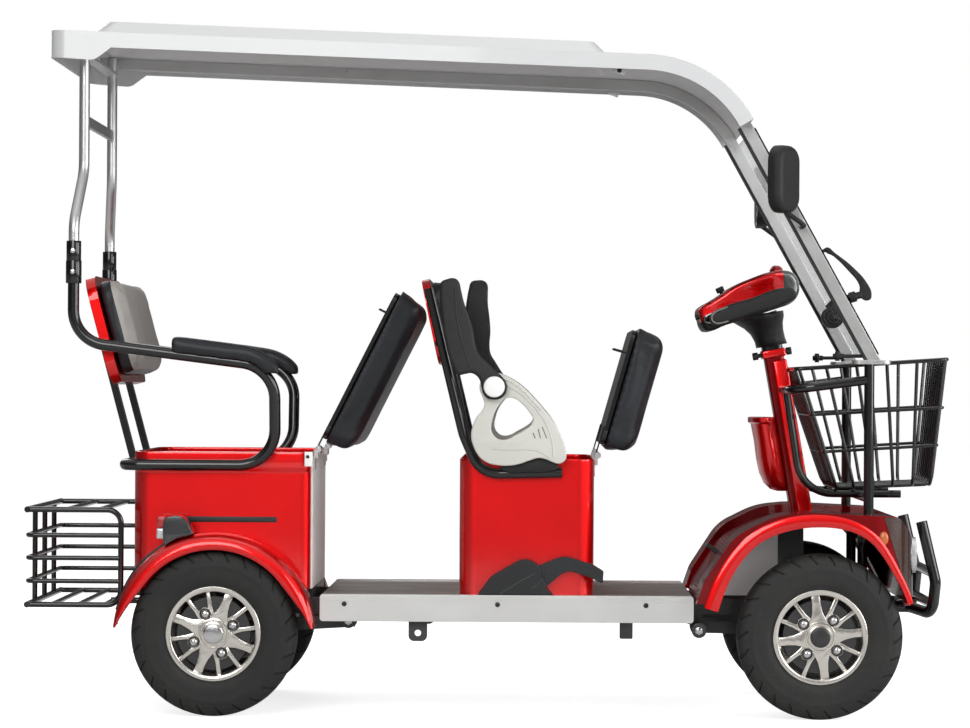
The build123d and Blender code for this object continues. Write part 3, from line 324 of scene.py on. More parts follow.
cap_black = finish("cap_black", (0.012, 0.012, 0.013), (0.02, 0.02, 0.02), 0.35, coat=0.3, dust=0.1)


def weld(bm, gap=WELD):
    """Join points that lie together."""
    bmesh.ops.remove_doubles(bm, verts=bm.verts, dist=gap)


def face_outward(bm):
    """Turn all faces outward."""
    bmesh.ops.recalc_face_normals(bm, faces=bm.faces)


def shift(bm, verts, way):
    """Move points of a mesh."""
    bmesh.ops.translate(bm, verts=verts, vec=way)


def soften_edges(bm, edges, offset, segments=2):
    """Round edges off."""
    bmesh.ops.bevel(bm, geom=edges, offset=offset, segments=segments, profile=0.5, affect="EDGES",
                    material=-1)


def spin(bm, geom, angle, steps, centre=(0, 0), **how):
    """Sweep parts of a mesh round an axle along Y at centre (X, Z)."""
    x, z = centre
    bmesh.ops.spin(bm, geom=geom, cent=(x, 0, z), axis=(0, 1, 0), angle=angle, steps=steps, **how)


def line_of(bm, section, centre=(0, 0)):
    """Points and edges of a (radius, Y) section beside an axle along Y at centre (X, Z)."""
    x, z = centre
    verts = [bm.verts.new((x + r, y, z)) for r, y in section]
    return verts + [bm.edges.new(pair) for pair in zip(verts, verts[1:])]


def spun(bm, section, steps, centre=(0, 0)):
    """A section spun once round its axle."""
    spin(bm, line_of(bm, section, centre), math.tau, steps, centre, use_merge=True)


def only(kind, geom):
    """The parts of a result that are of one kind."""
    return [part for part in geom if isinstance(part, kind)]


def add_spoke(bm, section, angle, back, front):
    """A spoke from its face outline, turned to its place, with a softened front edge."""
    turn = Matrix.Rotation(math.radians(angle), 3, "Y")
    face = bm.faces.new([bm.verts.new(turn @ Vector((r, back, w))) for r, w in section])
    drawn = bmesh.ops.extrude_face_region(bm, geom=[face])["geom"]
    shift(bm, only(bmesh.types.BMVert, drawn), (0, front - back, 0))
    soften_edges(bm, only(bmesh.types.BMEdge, drawn), SPOKE_SOFT)


def turn_mesh(bm, degrees, axis="Y", centre=(0, 0, 0)):
    """Turn a whole mesh about an axis through a point."""
    bmesh.ops.rotate(bm, verts=bm.verts, cent=centre, matrix=Matrix.Rotation(math.radians(degrees), 3, axis))


def seat_wheel(bm, x, side, turn):
    """Turn a wheel's mesh on its axle and carry it to its corner."""
    weld(bm)
    turn_mesh(bm, turn)
    if side > 0:
        bmesh.ops.scale(bm, verts=bm.verts, vec=(1, -1, 1))
    shift(bm, bm.verts, (x, side * HALF_TRACK, AXLE_Z))
    face_outward(bm)


def smooth_piece(piece, angle):
    """Smooth shading, broken at edges sharper than an angle."""
    piece.data.polygons.foreach_set("use_smooth", [True] * len(piece.data.polygons))
    piece.data.set_sharp_from_angle(angle=math.radians(angle))


def finished(name, bm, material, slot, angle=35, body="chassis"):
    """A bmesh made a piece with its finish, on the chassis unless said; the slot is not used."""
    piece = new_piece(name, bm, body)
    piece.data.materials.append(material)
    smooth_piece(piece, angle)
    return piece


for corner, x, side, turn in WHEELS:
    body = "wheel_" + corner
    bm = bmesh.new()
    spun(bm, LIP + LIP[:1], 72)
    spun(bm, HUB, 48)
    for k, place in enumerate(NUT_PLACES):
        add_spoke(bm, WIDE_SPOKE, 90 * k, SPOKE_BACK, WIDE_FACE)
        for lean in (-THIN_SPOKES_AT, THIN_SPOKES_AT):
            add_spoke(bm, THIN_SPOKE, 45 + 90 * k + lean, SPOKE_BACK, THIN_FACE)
        spun(bm, NUT_BOSS, 20, place)
    seat_wheel(bm, x, side, turn)
    rim = finished("alloy_rim_" + corner, bm, alloy, "silver_alloy", 32, body)
    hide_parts("rim_" + corner)
    nuts = bmesh.new()
    seats = bmesh.new()
    cap = bmesh.new()
    for place in NUT_PLACES:
        spun(nuts, NUT, 16, place)
        spun(seats, NUT_SEAT, 20, place)
    spun(seats, DRUM, 48)
    spun(cap, CAP, 36)
    for mesh in (nuts, seats, cap):
        seat_wheel(mesh, x, side, turn)
    finished("dome_nuts_" + corner, nuts, nut_chrome, "silver_alloy", 60, body)
    finished("nut_seats_" + corner, seats, cap_black, "black_plastic", 50, body)
    cap_look = (cap_black, "black_plastic") if corner.startswith("front") else (nut_chrome, "silver_alloy")
    finished("hub_cap_" + corner, cap, *cap_look, 50, body)

# Tyres: road tyres of black rubber, moulded in one piece with slanted shoulder grooves and two channels.
# The sidewall is smoother than the tread, and dusty from use.
TYRE_SIDE = [(0.1083, -0.0394), (0.118, -0.0405), (0.124, -0.044), (0.136, -0.0468), (0.15, -0.0476),
             (0.162, -0.0474), (0.1655, -0.0481), (0.169, -0.0472), (0.178, -0.046), (0.186, -0.0442),
             (0.193, -0.0405), (0.198, -0.035), (0.201, -0.028), (0.2024, -0.02), (0.2028, -0.0125),
             (0.1992, -0.0112), (0.1992, -0.0088), (0.203, -0.0075)]
TYRE_SECTION = TYRE_SIDE + [(r, -y) for r, y in reversed(TYRE_SIDE)]
TYRE_R = 0.203
TREAD_PITCHES = 26
PITCH = math.tau / TREAD_PITCHES
PITCH_STEPS = 7
GROOVE_STEP = 2
GROOVE_R, GROOVE_Y = 0.176, 0.019
GROOVE_WALL, GROOVE_DEPTH = 0.0012, 0.0035
GROOVE_SLANT, SLANT_FADE = 0.13, 0.03
tyre_black = finish("tyre_black", (0.012, 0.012, 0.012), (0.018, 0.0175, 0.0165), 0.6,
                    grain=(600, 80, 0.0008), edge=0.001, rub=(0.3, (0.04, 0.04, 0.04)), dust=0.12,
                    specular=0.35)


def whole(bm):
    """All points, edges and faces of a mesh."""
    return bm.verts[:] + bm.edges[:] + bm.faces[:]


def in_groove(face, flank):
    """Whether a face lies in the grooved step of the pitch, on one shoulder."""
    middle = face.calc_center_median()
    step = (math.atan2(-middle.z, middle.x) / PITCH) % 1 * PITCH_STEPS
    on_shoulder = math.hypot(middle.x, middle.z) > GROOVE_R and flank * middle.y > GROOVE_Y
    return GROOVE_STEP < step < GROOVE_STEP + 1 and on_shoulder


for corner, x, side, turn in WHEELS:
    bm = bmesh.new()
    spin(bm, line_of(bm, TYRE_SECTION), PITCH, PITCH_STEPS)
    weld(bm)
    face_outward(bm)
    for flank in (-1, 1):
        cut = [face for face in bm.faces if in_groove(face, flank)]
        bmesh.ops.inset_region(bm, faces=cut, thickness=GROOVE_WALL, depth=-GROOVE_DEPTH,
                               use_even_offset=True)
    for vert in bm.verts:
        drop = min(max((TYRE_R - math.hypot(vert.co.x, vert.co.z)) / SLANT_FADE, 0), 1)
        vert.co = Matrix.Rotation(GROOVE_SLANT * drop, 3, "Y") @ vert.co
    spin(bm, whole(bm), math.tau - PITCH, TREAD_PITCHES - 1, use_duplicate=True)
    seat_wheel(bm, x, side, turn)
    tyre = finished("road_tyre_" + corner, bm, tyre_black, "tyre_rubber", 38, "wheel_" + corner)
    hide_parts("tyre_" + corner)

# Floor: a steel deck under a vinyl sheet with a weathered wood print, edged by satin aluminium sills.
# The sills are extrusions with drawn lines along them, held by three black screws a side.
SILL_FACE_Y = 0.33
DRAWN_ENDS, DRAWN_LINES, DRAWN_R = (-0.402, 0.495), [0.2935, 0.289, 0.284], 0.0009
SILL_SCREWS, SILL_SCREW_Z = (-0.352, 0.024, 0.388), 0.275
PLANK_DARK, PLANK_LIGHT = (0.05, 0.043, 0.036), (0.34, 0.31, 0.28)
vinyl = finish("wood_vinyl", (0.2, 0.175, 0.15), (0.12, 0.105, 0.09), 0.5, grain=(420, 200, 0.0008),
               dust=0.15)
planks = vinyl.node_tree
grain_place = add(planks, "TexCoord").outputs["Object"]
grain_place = add(planks, "Mapping", {"Vector": grain_place, "Scale": (3.0, 60.0, 1.0)}).outputs[0]
streaks = add(planks, "TexNoise", {"Vector": grain_place, "Scale": 2.2, "Detail": 8.0, "Roughness": 0.7,
                                   "Distortion": 0.6})
streak_share = mapped(planks, streaks.outputs["Fac"], 0.38, 0.62)
dust_node = next(n for n in planks.nodes if n.type == "GROUP" and n.node_tree == SETTLED_DUST)
set_inputs(planks, dust_node, {"Colour": blended(planks, streak_share, rgb(PLANK_DARK), rgb(PLANK_LIGHT))})
dress(vinyl, "floor_deck")
satin = finish("satin_aluminium", (0.7, 0.7, 0.685), (0.66, 0.66, 0.645), 0.38, metal=0.85,
               grain=(900, 200, 0.0002), rub=(0.3, (0.8, 0.8, 0.8)), dust=0.06)
dress(satin, "side_sills")
screw_black = finish("screw_black", (0.01, 0.01, 0.01), (0.016, 0.016, 0.016), 0.4, metal=0.3, dust=0.1)


def shape_of(piece):
    """The mesh that a piece's curve or modifiers make."""
    return bpy.data.meshes.new_from_object(piece.evaluated_get(bpy.context.evaluated_depsgraph_get()))


def curve_mesh(curve):
    """A curve turned into a mesh."""
    holder = bpy.data.objects.new(curve.name, curve)
    link(holder)
    mesh = shape_of(holder)
    bpy.data.objects.remove(holder)
    return mesh


def at_y(y, line):
    """Points of an (X, Z) line at one Y."""
    return [(x, y, z) for x, z in line]


def bead(bm, points, r, straight=False, shares=()):
    """Add a round bead through points, with closed ends; shares thin it from point to point."""
    line = bpy.data.curves.new("bead", "CURVE")
    line.dimensions = "3D"
    line.bevel_depth = r
    line.bevel_resolution = 3
    line.use_fill_caps = True
    run = line.splines.new("POLY" if straight else "NURBS")
    run.points.add(len(points) - 1)
    for control, place in zip(run.points, points):
        control.co = (*place, 1)
    for control, share in zip(run.points, shares):
        control.radius = share
    if not straight:
        run.order_u = 3
        run.use_endpoint_u = True
        run.resolution_u = 6
    bm.from_mesh(curve_mesh(line))


def round_bar(bm, start, end, r, segments=20, soften=0.0):
    """Add a capped cylinder between two points, its rims softened."""
    start, end = Vector(start), Vector(end)
    way = end - start
    place = Matrix.Translation((start + end) / 2) @ way.to_track_quat("Z", "Y").to_matrix().to_4x4()
    made = bmesh.ops.create_cone(bm, cap_ends=True, segments=segments, radius1=r, radius2=r, depth=way.length,
                                 matrix=place)
    if soften:
        rims = [e for v in made["verts"] for e in v.link_edges if any(len(f.verts) > 4 for f in e.link_faces)]
        soften_edges(bm, list(dict.fromkeys(rims)), soften)


def paired(name, bm, *look, **ride):
    """A right-hand mesh and its mirror image on the left as one finished piece."""
    other = bmesh.ops.duplicate(bm, geom=whole(bm))["geom"]
    bmesh.ops.scale(bm, verts=only(bmesh.types.BMVert, other), vec=(1, -1, 1))
    bmesh.ops.reverse_faces(bm, faces=only(bmesh.types.BMFace, other))
    return finished(name, bm, *look, **ride)


screws = bmesh.new()
for x in SILL_SCREWS:
    head, top, socket = ((x, -SILL_FACE_Y - out, SILL_SCREW_Z) for out in (0.0035, 0.0034, 0.0042))
    round_bar(screws, (x, -SILL_FACE_Y + 0.001, SILL_SCREW_Z), head, 0.0062, 16, 0.0012)
    round_bar(screws, top, socket, 0.0028, 6)
paired("sill_screws", screws, screw_black, "black_steel")
lines = bmesh.new()
for z in DRAWN_LINES:
    bead(lines, [(x, -SILL_FACE_Y, z) for x in DRAWN_ENDS], DRAWN_R, True)
paired("sill_drawn_lines", lines, satin, "silver_alloy")

# Suspension pivots: the trailing and leading arms swing on bright bolts below the sills.
# Each bolt has a domed head on a black rubber-lined boss; a channel foot hangs below the right sill.
ARM_PIVOTS = ((0.52, -0.294, 0.212), (-0.346, -0.2365, 0.227))
BOSS_R, BOLT_R, DOME_R = 0.0185, 0.0105, 0.007
FOOT_AT, FOOT_SIZE = (0.341, -0.278, 0.2365), (0.032, 0.03, 0.093)


def block(centre, size, soften, segments=2, turn=Matrix()):
    """A box with softened edges, turned about its centre."""
    bm = bmesh.new()
    place = Matrix.Translation(centre) @ turn @ Matrix.Diagonal((*size, 1))
    bmesh.ops.create_cube(bm, size=1, matrix=place)
    soften_edges(bm, bm.edges[:], soften, segments)
    return bm


bosses = bmesh.new()
bolts = bmesh.new()
for x, y, z in ARM_PIVOTS:
    round_bar(bosses, (x, y + 0.004, z), (x, y - 0.006, z), BOSS_R, 28, 0.0015)
    round_bar(bolts, (x, y - 0.0055, z), (x, y - 0.0115, z), BOLT_R, 6, 0.001)
    round_bar(bolts, (x, y - 0.011, z), (x, y - 0.015, z), DOME_R, 20, 0.002)
paired("pivot_bosses", bosses, frame_black, "black_steel")
paired("pivot_bolts", bolts, nut_chrome, "silver_alloy")
finished("channel_foot", block(FOOT_AT, FOOT_SIZE, 0.003), frame_black, "black_steel")

# Bodywork: trunk and seat box folded from sheet steel, welded and sprayed candy red over a bright base.
# The lacquer is deep and glossy with a little orange peel; a dark stripe is stuck along the trunk's sides.
# Tub levels are (Z, out at the sides, inset), from the foot up over the rolled rim and down inside.
CORNER_STEPS = 10
TRUNK_X, TRUNK_HALF, TRUNK_CORNERS = (-0.877, -0.44), 0.282, (0.042, 0.024)
TRUNK_LEVELS = [(0.307, 0, 0), (0.592, 0, 0), (0.597, 0.0015, 0), (0.602, 0.0055, 0), (0.608, 0.008, 0),
                (0.639, 0.008, 0), (0.6435, 0.008, 0.0012), (0.645, 0.008, 0.0045), (0.645, 0, 0.0025),
                (0.6435, 0, 0.0035), (0.64, 0, 0.004), (0.311, 0, 0.004)]
SEAT_BOX_X, SEAT_BOX_HALF, SEAT_BOX_CORNERS = (-0.072, 0.26), 0.3, (0.042, 0.042)
SEAT_BOX_LEVELS = [(0.293, 0, 0), (0.627, 0, 0), (0.6308, 0, 0.0008), (0.632, 0, 0.002),
                   (0.6308, 0, 0.0032), (0.627, 0, 0.004), (0.297, 0, 0.004)]
STRIPE_AT, STRIPE_SIZE = (-0.64, -0.2823, 0.478), (0.236, 0.0008, 0.014)
red = finish("candy_red", (0.74, 0.003, 0.004), (0.66, 0.0025, 0.0035), 0.4, metal=0.85, coat=1.0,
             grain=(300, 70, 0.00012), edge=0.003, rub=(0.03, (0.7, 0.1, 0.08)), dust=0.02, drift=0.04,
             specular=0.12)
# A darker copy of the same candy red, for faces turned from the light: painted shade.
shaded_red = finish("candy_red_painted_shade", (0.24, 0.002, 0.004), (0.17, 0.0015, 0.003), 0.26, metal=0.5,
                  coat=0.35, grain=(300, 70, 0.00012), edge=0.0015, rub=(0.04, (0.75, 0.3, 0.28)),
                  dust=0.0, drift=0.04, specular=0.15)
white = finish("white_panel", (0.88, 0.88, 0.87), (0.84, 0.84, 0.83), 0.4, grain=(900, 60, 0.0002),
               dust=0.03)
stripe_grey = finish("stripe_grey", (0.012, 0.013, 0.014), (0.01, 0.011, 0.012), 0.5, dust=0.05)
dress(red, "rear_backrest_shell", "driver_backrest_shell")
# The steering column's casing takes the darker copy of the red: painted shade.
dress(shaded_red, "steering_column")
dress(white, "trunk_front_panel")


def tub_ring(bm, x0, x1, half, z, rear_r, front_r):
    """Points round a rectangle whose rear and front corners have their own radii."""
    ring = []
    for corner in range(4):
        r = front_r if corner in (0, 3) else rear_r
        x = x1 - r if corner in (0, 3) else x0 + r
        y = half - r if corner < 2 else r - half
        for step in range(CORNER_STEPS + 1):
            angle = math.radians(90 * (corner + step / CORNER_STEPS))
            ring.append(bm.verts.new((x + r * math.cos(angle), y + r * math.sin(angle), z)))
    return ring


def even_normals(piece):
    """Weigh the shading by face size, so that flat faces look flat up to their bends."""
    even = piece.modifiers.new("even_normals", "WEIGHTED_NORMAL")
    even.keep_sharp = True


def folded_tub(name, ends, half, radii, levels):
    """An open tub with a floor: outer wall, rim and inner wall joined from ring to ring."""
    bm = bmesh.new()
    rings = []
    for z, out, inset in levels:
        rings.append(tub_ring(bm, ends[0] + inset, ends[1] - inset, half + out - inset, z,
                              radii[0] - inset, radii[1] - inset))
    for low, high in zip(rings, rings[1:]):
        for i in range(len(low)):
            bm.faces.new((low[i - 1], low[i], high[i], high[i - 1]))
    bm.faces.new(rings[0])
    bm.faces.new(rings[-1])
    face_outward(bm)
    tub = finished(name, bm, red, "red_paint", 40)
    even_normals(tub)
    return tub


trunk = folded_tub("folded_trunk", TRUNK_X, TRUNK_HALF, TRUNK_CORNERS, TRUNK_LEVELS)
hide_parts("rear_trunk")
seat_box = folded_tub("folded_seat_box", SEAT_BOX_X, SEAT_BOX_HALF, SEAT_BOX_CORNERS, SEAT_BOX_LEVELS)
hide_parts("seat_box")
paired("trunk_stripe", block(STRIPE_AT, STRIPE_SIZE, 0.0003), stripe_grey, "black_plastic")

# Trunk fittings: hinge plates of white-coated steel screwed to the trunk's front edge.
# They carry the bench's hinge pins beside the white front panel.
PLATE_AT, PLATE_SIZE = Vector((-0.444, -0.292, 0.628)), (0.02, 0.003, 0.036)
PLATE_SCREW = PLATE_AT + Vector((-0.002, 0, 0.006))
plate_screws = bmesh.new()
round_bar(plate_screws, PLATE_SCREW, PLATE_SCREW + Vector((0, -0.005, 0)), 0.0042, 12, 0.001)
paired("hinge_plates", block(PLATE_AT, PLATE_SIZE, 0.0012), white, "white_plastic")
paired("hinge_plate_screws", plate_screws, screw_black, "black_steel")

# Rear fenders: pressed steel mudguards with a rolled outer lip, sprayed with the trunk and bolted to it.
# The section turns down from the flat crown to the lip in a soft radius, so a bright line follows the arch.
# The lip narrows to a tip at both ends of the arch.
FENDER_X = -0.668
FENDER_R = 0.246
FENDER_START, FENDER_SWEEP, FENDER_STEPS = -3.5, -173, 64
FENDER_TAPER = 34
FENDER_TIP = 0.2
FENDER_SECTION = [(0.246, -0.2835), (0.246, -0.33), (0.2455, -0.356), (0.243, -0.374), (0.2375, -0.387),
                  (0.229, -0.3945), (0.219, -0.3978), (0.2095, -0.3975), (0.2052, -0.395),
                  (0.2045, -0.3915), (0.2075, -0.39), (0.218, -0.3905), (0.227, -0.3875), (0.234, -0.381),
                  (0.2385, -0.3705), (0.2405, -0.3545), (0.241, -0.33), (0.241, -0.2835)]
bm = bmesh.new()
bm.faces.new([bm.verts.new((r, y, 0)) for r, y in FENDER_SECTION])
turn_mesh(bm, FENDER_START)
spin(bm, whole(bm), math.radians(FENDER_SWEEP), FENDER_STEPS)
weld(bm)
turns = [math.degrees(math.atan2(vert.co.z, vert.co.x)) for vert in bm.verts]
first, last = min(turns), max(turns)
for vert, turn in zip(bm.verts, turns):
    from_end = min(turn - first, last - turn)
    width = FENDER_TIP + (1 - FENDER_TIP) * math.sin(math.pi / 2 * min(1, from_end / FENDER_TAPER))
    r = math.hypot(vert.co.x, vert.co.z)
    grow = (FENDER_R - (FENDER_R - r) * width) / r
    vert.co = Vector((vert.co.x * grow, vert.co.y, vert.co.z * grow))
face_outward(bm)
shift(bm, bm.verts, (FENDER_X, 0, AXLE_Z))
fenders = paired("rolled_fenders", bm, red, "red_paint", 40)
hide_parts("rear_fenders")

# Tail lamps: smoked acrylic housings on the fenders' crowns, with a red and a clear lens facing back.
# A black gasket strip runs from each lamp down the back of the fender.
LAMP_EDGE = [(-0.787, 0.417), (-0.79, 0.424), (-0.791, 0.47), (-0.789, 0.4775), (-0.781, 0.487),
             (-0.775, 0.489), (-0.75, 0.489), (-0.744, 0.4865), (-0.7215, 0.454), (-0.719, 0.447),
             (-0.724, 0.4435), (-0.755, 0.4355), (-0.78, 0.4215)]
LAMP_Y = (-0.382, -0.306)
LENS_AT, LENS_SIZE = (-0.7975, -0.344), (0.022, 0.062, 0.027)
RED_LENS_Z, CLEAR_LENS_Z = 0.4745, 0.446
GASKET_R, GASKET_Y, GASKET_TURNS = 0.2485, -0.3, (118, 128, 138, 148, 158, 168)
lamp_smoke = finish("lamp_smoke", (0.03, 0.032, 0.034), (0.016, 0.017, 0.018), 0.2, coat=0.8, edge=0.004,
                    rub=(0.2, (0.2, 0.21, 0.22)), dust=0.02)
lamp_red = finish("lamp_red", (0.45, 0.008, 0.008), (0.35, 0.006, 0.006), 0.12, coat=0.8,
                  grain=(260, 90, 0.001), dust=0.05)
lamp_clear = finish("lamp_clear", (0.62, 0.62, 0.63), (0.56, 0.56, 0.57), 0.1, metal=0.4, coat=0.8,
                    grain=(260, 90, 0.001), dust=0.02)


def moulding(loops, y0, y1, soften):
    """A moulded plate: smooth closed loops of (X, Z) points, filled from y0 to y1, with rounded edges."""
    flat = bpy.data.curves.new("moulding", "CURVE")
    flat.dimensions = "2D"
    flat.fill_mode = "BOTH"
    flat.extrude = (y1 - y0) / 2 - soften
    flat.bevel_depth = soften
    flat.bevel_resolution = 3
    flat.offset = -soften
    flat.resolution_u = 5
    for loop in loops:
        line = flat.splines.new("BEZIER")
        line.bezier_points.add(len(loop) - 1)
        for knot, (x, z) in zip(line.bezier_points, loop):
            knot.co = (x, z, 0)
            knot.handle_left_type = knot.handle_right_type = "AUTO"
        line.use_cyclic_u = True
    bm = bmesh.new()
    bm.from_mesh(curve_mesh(flat))
    weld(bm)
    turn_mesh(bm, 90, "X")
    shift(bm, bm.verts, (0, (y0 + y1) / 2, 0))
    face_outward(bm)
    return bm


housing = moulding([LAMP_EDGE], *LAMP_Y, 0.004)
lamps = paired("lamp_housings", housing, lamp_smoke, "lamp_red", 45)
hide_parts("tail_lamps")
for name, z, material, slot in (("tail_lenses", RED_LENS_Z, lamp_red, "lamp_red"),
                                ("reverse_lenses", CLEAR_LENS_Z, lamp_clear, "clear_glass")):
    paired(name, block((*LENS_AT, z), LENS_SIZE, 0.004, 3), material, slot)
gasket = bmesh.new()
bead(gasket, [(FENDER_X + GASKET_R * math.cos(math.radians(turn)), GASKET_Y,
               AXLE_Z + GASKET_R * math.sin(math.radians(turn))) for turn in GASKET_TURNS], 0.006)
paired("fender_gaskets", gasket, cap_black, "black_plastic")

# Headlamps: round clear acrylic lenses over bright bowls, set in the cowl's front.
# They are moulded with the same fine ripple as the reversing lenses.
dress(lamp_clear, "front_lamps")

# Batteries: sealed packs in dark grey plastic cases.
# They stand strapped in the seat box.
case_grey = finish("case_grey", (0.1, 0.1, 0.105), (0.08, 0.08, 0.085), 0.5, grain=(800, 60, 0.0006),
                   dust=0.2)
dress(case_grey, "battery_pack")

# Footwell liners: grey plastic sheets that close the inner sides of the front wheel arches; their grey is
# painted paler than the plastic to lift the shade in the arches, a painted light.
# They hang from the cowl's skin by their top edge.
liner_grey_painted_light = finish("liner_grey_painted_light", (0.78, 0.77, 0.76), (0.7, 0.69, 0.68), 0.5, grain=(800, 60, 0.0004),
                    dust=0.1)
dress(liner_grey_painted_light, "footwell_liners")

# Tube work: rack, arm frame, posts, front and seat frames, bumper, stem and handle, bent steel tube, welded.
# Stoved gloss black enamel gives each tube a narrow bright line; the pressed cushion pans have it too.
gloss_black = finish("gloss_black", (0.003, 0.003, 0.0034), (0.0045, 0.0045, 0.005), 0.3, coat=0.8,
                     grain=(400, 60, 0.0001), rub=(0.1, (0.2, 0.2, 0.2)), dust=0.02, specular=0.2)
dress(gloss_black, "rear_rack", "arm_frame", "backrest_posts", "front_frame", "front_bumper", "seat_frame",
      "steering_stem", "handle_bar", "rear_cushion_pan", "driver_cushion_pan")

# Mirror shells and brake controls: injection-moulded black plastic over steel arms.
# The parking brake's cover is a dark grey moulding with two parting seams.
SEAM_LINES = [[(0.031, 0.302), (0.074, 0.33), (0.113, 0.351)],
              [(0.109, 0.315), (0.131, 0.334), (0.139, 0.345), (0.135, 0.356)]]
SEAM_Y, SEAM_R = -0.3273, 0.0011
pad_black = finish("moulded_black", (0.007, 0.0072, 0.0076), (0.01, 0.0104, 0.011), 0.45,
                   grain=(900, 120, 0.0006), edge=0.003, rub=(0.15, (0.04, 0.04, 0.04)), dust=0.03,
                   specular=0.3)
dress(pad_black, "mirrors")
lever_grey = finish("lever_grey", (0.02, 0.021, 0.023), (0.016, 0.017, 0.018), 0.5,
                    grain=(900, 120, 0.0006), edge=0.004, rub=(0.2, (0.08, 0.08, 0.08)), dust=0.05,
                    specular=0.3)
dress(lever_grey, "brake_controls")
seams = bmesh.new()
for seam in SEAM_LINES:
    bead(seams, at_y(SEAM_Y, seam), SEAM_R)
finished("brake_cover_seams", seams, cap_black, "black_plastic")

# Cushions and backrest pads: moulded foam under a blue-black leathercloth cover, stapled to a pan or shell.
# The foam swells the cover between its pinned edges, so faces crown and corners stay soft.
# The bench's backrest has a warm grey front, sewn to the dark back along its side.
VOXEL = 0.006
CLOTH_FRAMES = 20
EASING_PASSES = 6
PINNED_FACING = 0.75
SEAM_SHARE = 0.5
PADS = [("bench_cushion", "rear_cushion", "rear_seat", (-0.894, 0, 0.447), 0.005, 0.01, 1.0),
        ("driver_seat_cushion", "driver_cushion", "driver_seat", (-0.963, 0, 0.27), 0.005, 0.009, 1.0),
        ("bench_back_pad", "rear_backrest_pad", "chassis", (-0.966, 0, -0.259), 0.005, 0.01, 1.0),
        ("driver_back_pad", "driver_backrest_pad", "chassis", (-0.978, 0, -0.208), 0.005, 0.01, 1.0),
        ("rear_arm_pads", "arm_pads", "chassis", (0, 0, -1), 0.003, 0.006, -0.516)]
leather = finish("blue_black_leather", (0.01, 0.0115, 0.015), (0.0075, 0.0085, 0.011), 0.42, coat=0.08,
                 grain=(520, 70, 0.0007), edge=0.004, rub=(0.15, (0.03, 0.032, 0.037)), dust=0.02,
                 specular=0.3)
grey_leather = finish("warm_grey_leather", (0.36, 0.34, 0.32), (0.31, 0.295, 0.28), 0.5,
                      grain=(520, 70, 0.0007), edge=0.004, rub=(0.2, (0.42, 0.4, 0.38)), dust=0.05)


def cad_copy(node, gap):
    """A CAD node's mesh with its near points welded."""
    bm = bmesh.new()
    bm.from_mesh(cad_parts[node].data)
    weld(bm, gap)
    return bm


def settle(piece):
    """Turn a piece's modifiers into mesh."""
    shape = shape_of(piece)
    piece.modifiers.clear()
    piece.data = shape


def inflate(pad, back, reach):
    """Blow the cover up with the back face pinned, and hold each point within its reach."""
    start = [v.co.copy() for v in pad.data.vertices]
    pinned = [v.index for v in pad.data.vertices if v.normal.dot(back) > PINNED_FACING]
    pins = pad.vertex_groups.new(name="pinned")
    pins.add(pinned, 1.0, "REPLACE")
    cloth = pad.modifiers.new("cloth", "CLOTH")
    cloth.settings.quality = 5
    cloth.settings.mass = 0.3
    cloth.settings.tension_stiffness = cloth.settings.compression_stiffness = 12
    cloth.settings.shear_stiffness = 6
    cloth.settings.bending_stiffness = 0.6
    cloth.settings.use_pressure = True
    cloth.settings.uniform_pressure_force = 4
    cloth.settings.vertex_group_mass = "pinned"
    cloth.settings.effector_weights.gravity = 0
    cloth.point_cache.frame_end = CLOTH_FRAMES
    for step in range(1, CLOTH_FRAMES + 1):
        bpy.context.scene.frame_set(step)
    settle(pad)
    bpy.context.scene.frame_set(1)
    for v, first in zip(pad.data.vertices, start):
        move = v.co - first
        if move.length > reach:
            v.co = first + move * (reach / move.length)
    eased = bmesh.new()
    eased.from_mesh(pad.data)
    held = set(pinned)
    loose = [v for v in eased.verts if v.index not in held]
    for _ in range(EASING_PASSES):
        bmesh.ops.smooth_vert(eased, verts=loose, factor=0.5, use_axis_x=True, use_axis_y=True,
                              use_axis_z=True)
    eased.to_mesh(pad.data)
    eased.free()


def stuffed(name, node, body, back, draw_in, reach, tip):
    """A foam pad: the CAD solid drawn in, kept behind its tip, remeshed and swelled from its pinned back."""
    bm = cad_copy(node, 0.0002)
    bm.normal_update()
    moves = [(v, v.normal.copy()) for v in bm.verts]
    for v, n in moves:
        v.co -= (n - back * min(n.dot(back), 0)) * draw_in
        v.co.x = min(v.co.x, tip)
    pad = new_piece(name, bm, None)
    remesh = pad.modifiers.new("remesh", "REMESH")
    remesh.mode = "VOXEL"
    remesh.voxel_size = VOXEL
    settle(pad)
    inflate(pad, back, reach)
    pad.data.polygons.foreach_set("use_smooth", [True] * len(pad.data.polygons))
    rounder = pad.modifiers.new("rounder", "SUBSURF")
    rounder.levels = rounder.render_levels = 1
    settle(pad)
    pad.data.materials.clear()
    pad.data.materials.append(leather)
    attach(pad, body)
    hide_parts(node)
    return pad


def face_with(pad, ahead, material):
    """Cut a pad's cover along its side seam and give the part ahead of it a second material."""
    pad.data.materials.append(material)
    cover = bmesh.new()
    cover.from_mesh(pad.data)
    depths = [v.co.dot(ahead) for v in cover.verts]
    seam_depth = min(depths) + SEAM_SHARE * (max(depths) - min(depths))
    bmesh.ops.bisect_plane(cover, geom=whole(cover), dist=0.00001, plane_co=ahead * seam_depth,
                           plane_no=ahead)
    for face in cover.faces:
        if face.calc_center_median().dot(ahead) > seam_depth:
            face.material_index = 1
    cover.to_mesh(pad.data)
    cover.free()


for name, node, body, back, draw_in, reach, tip in PADS:
    back = Vector(back).normalized()
    pad = stuffed(name, node, body, back, draw_in, reach, tip)
    if name == "bench_back_pad":
        face_with(pad, -back, grey_leather)

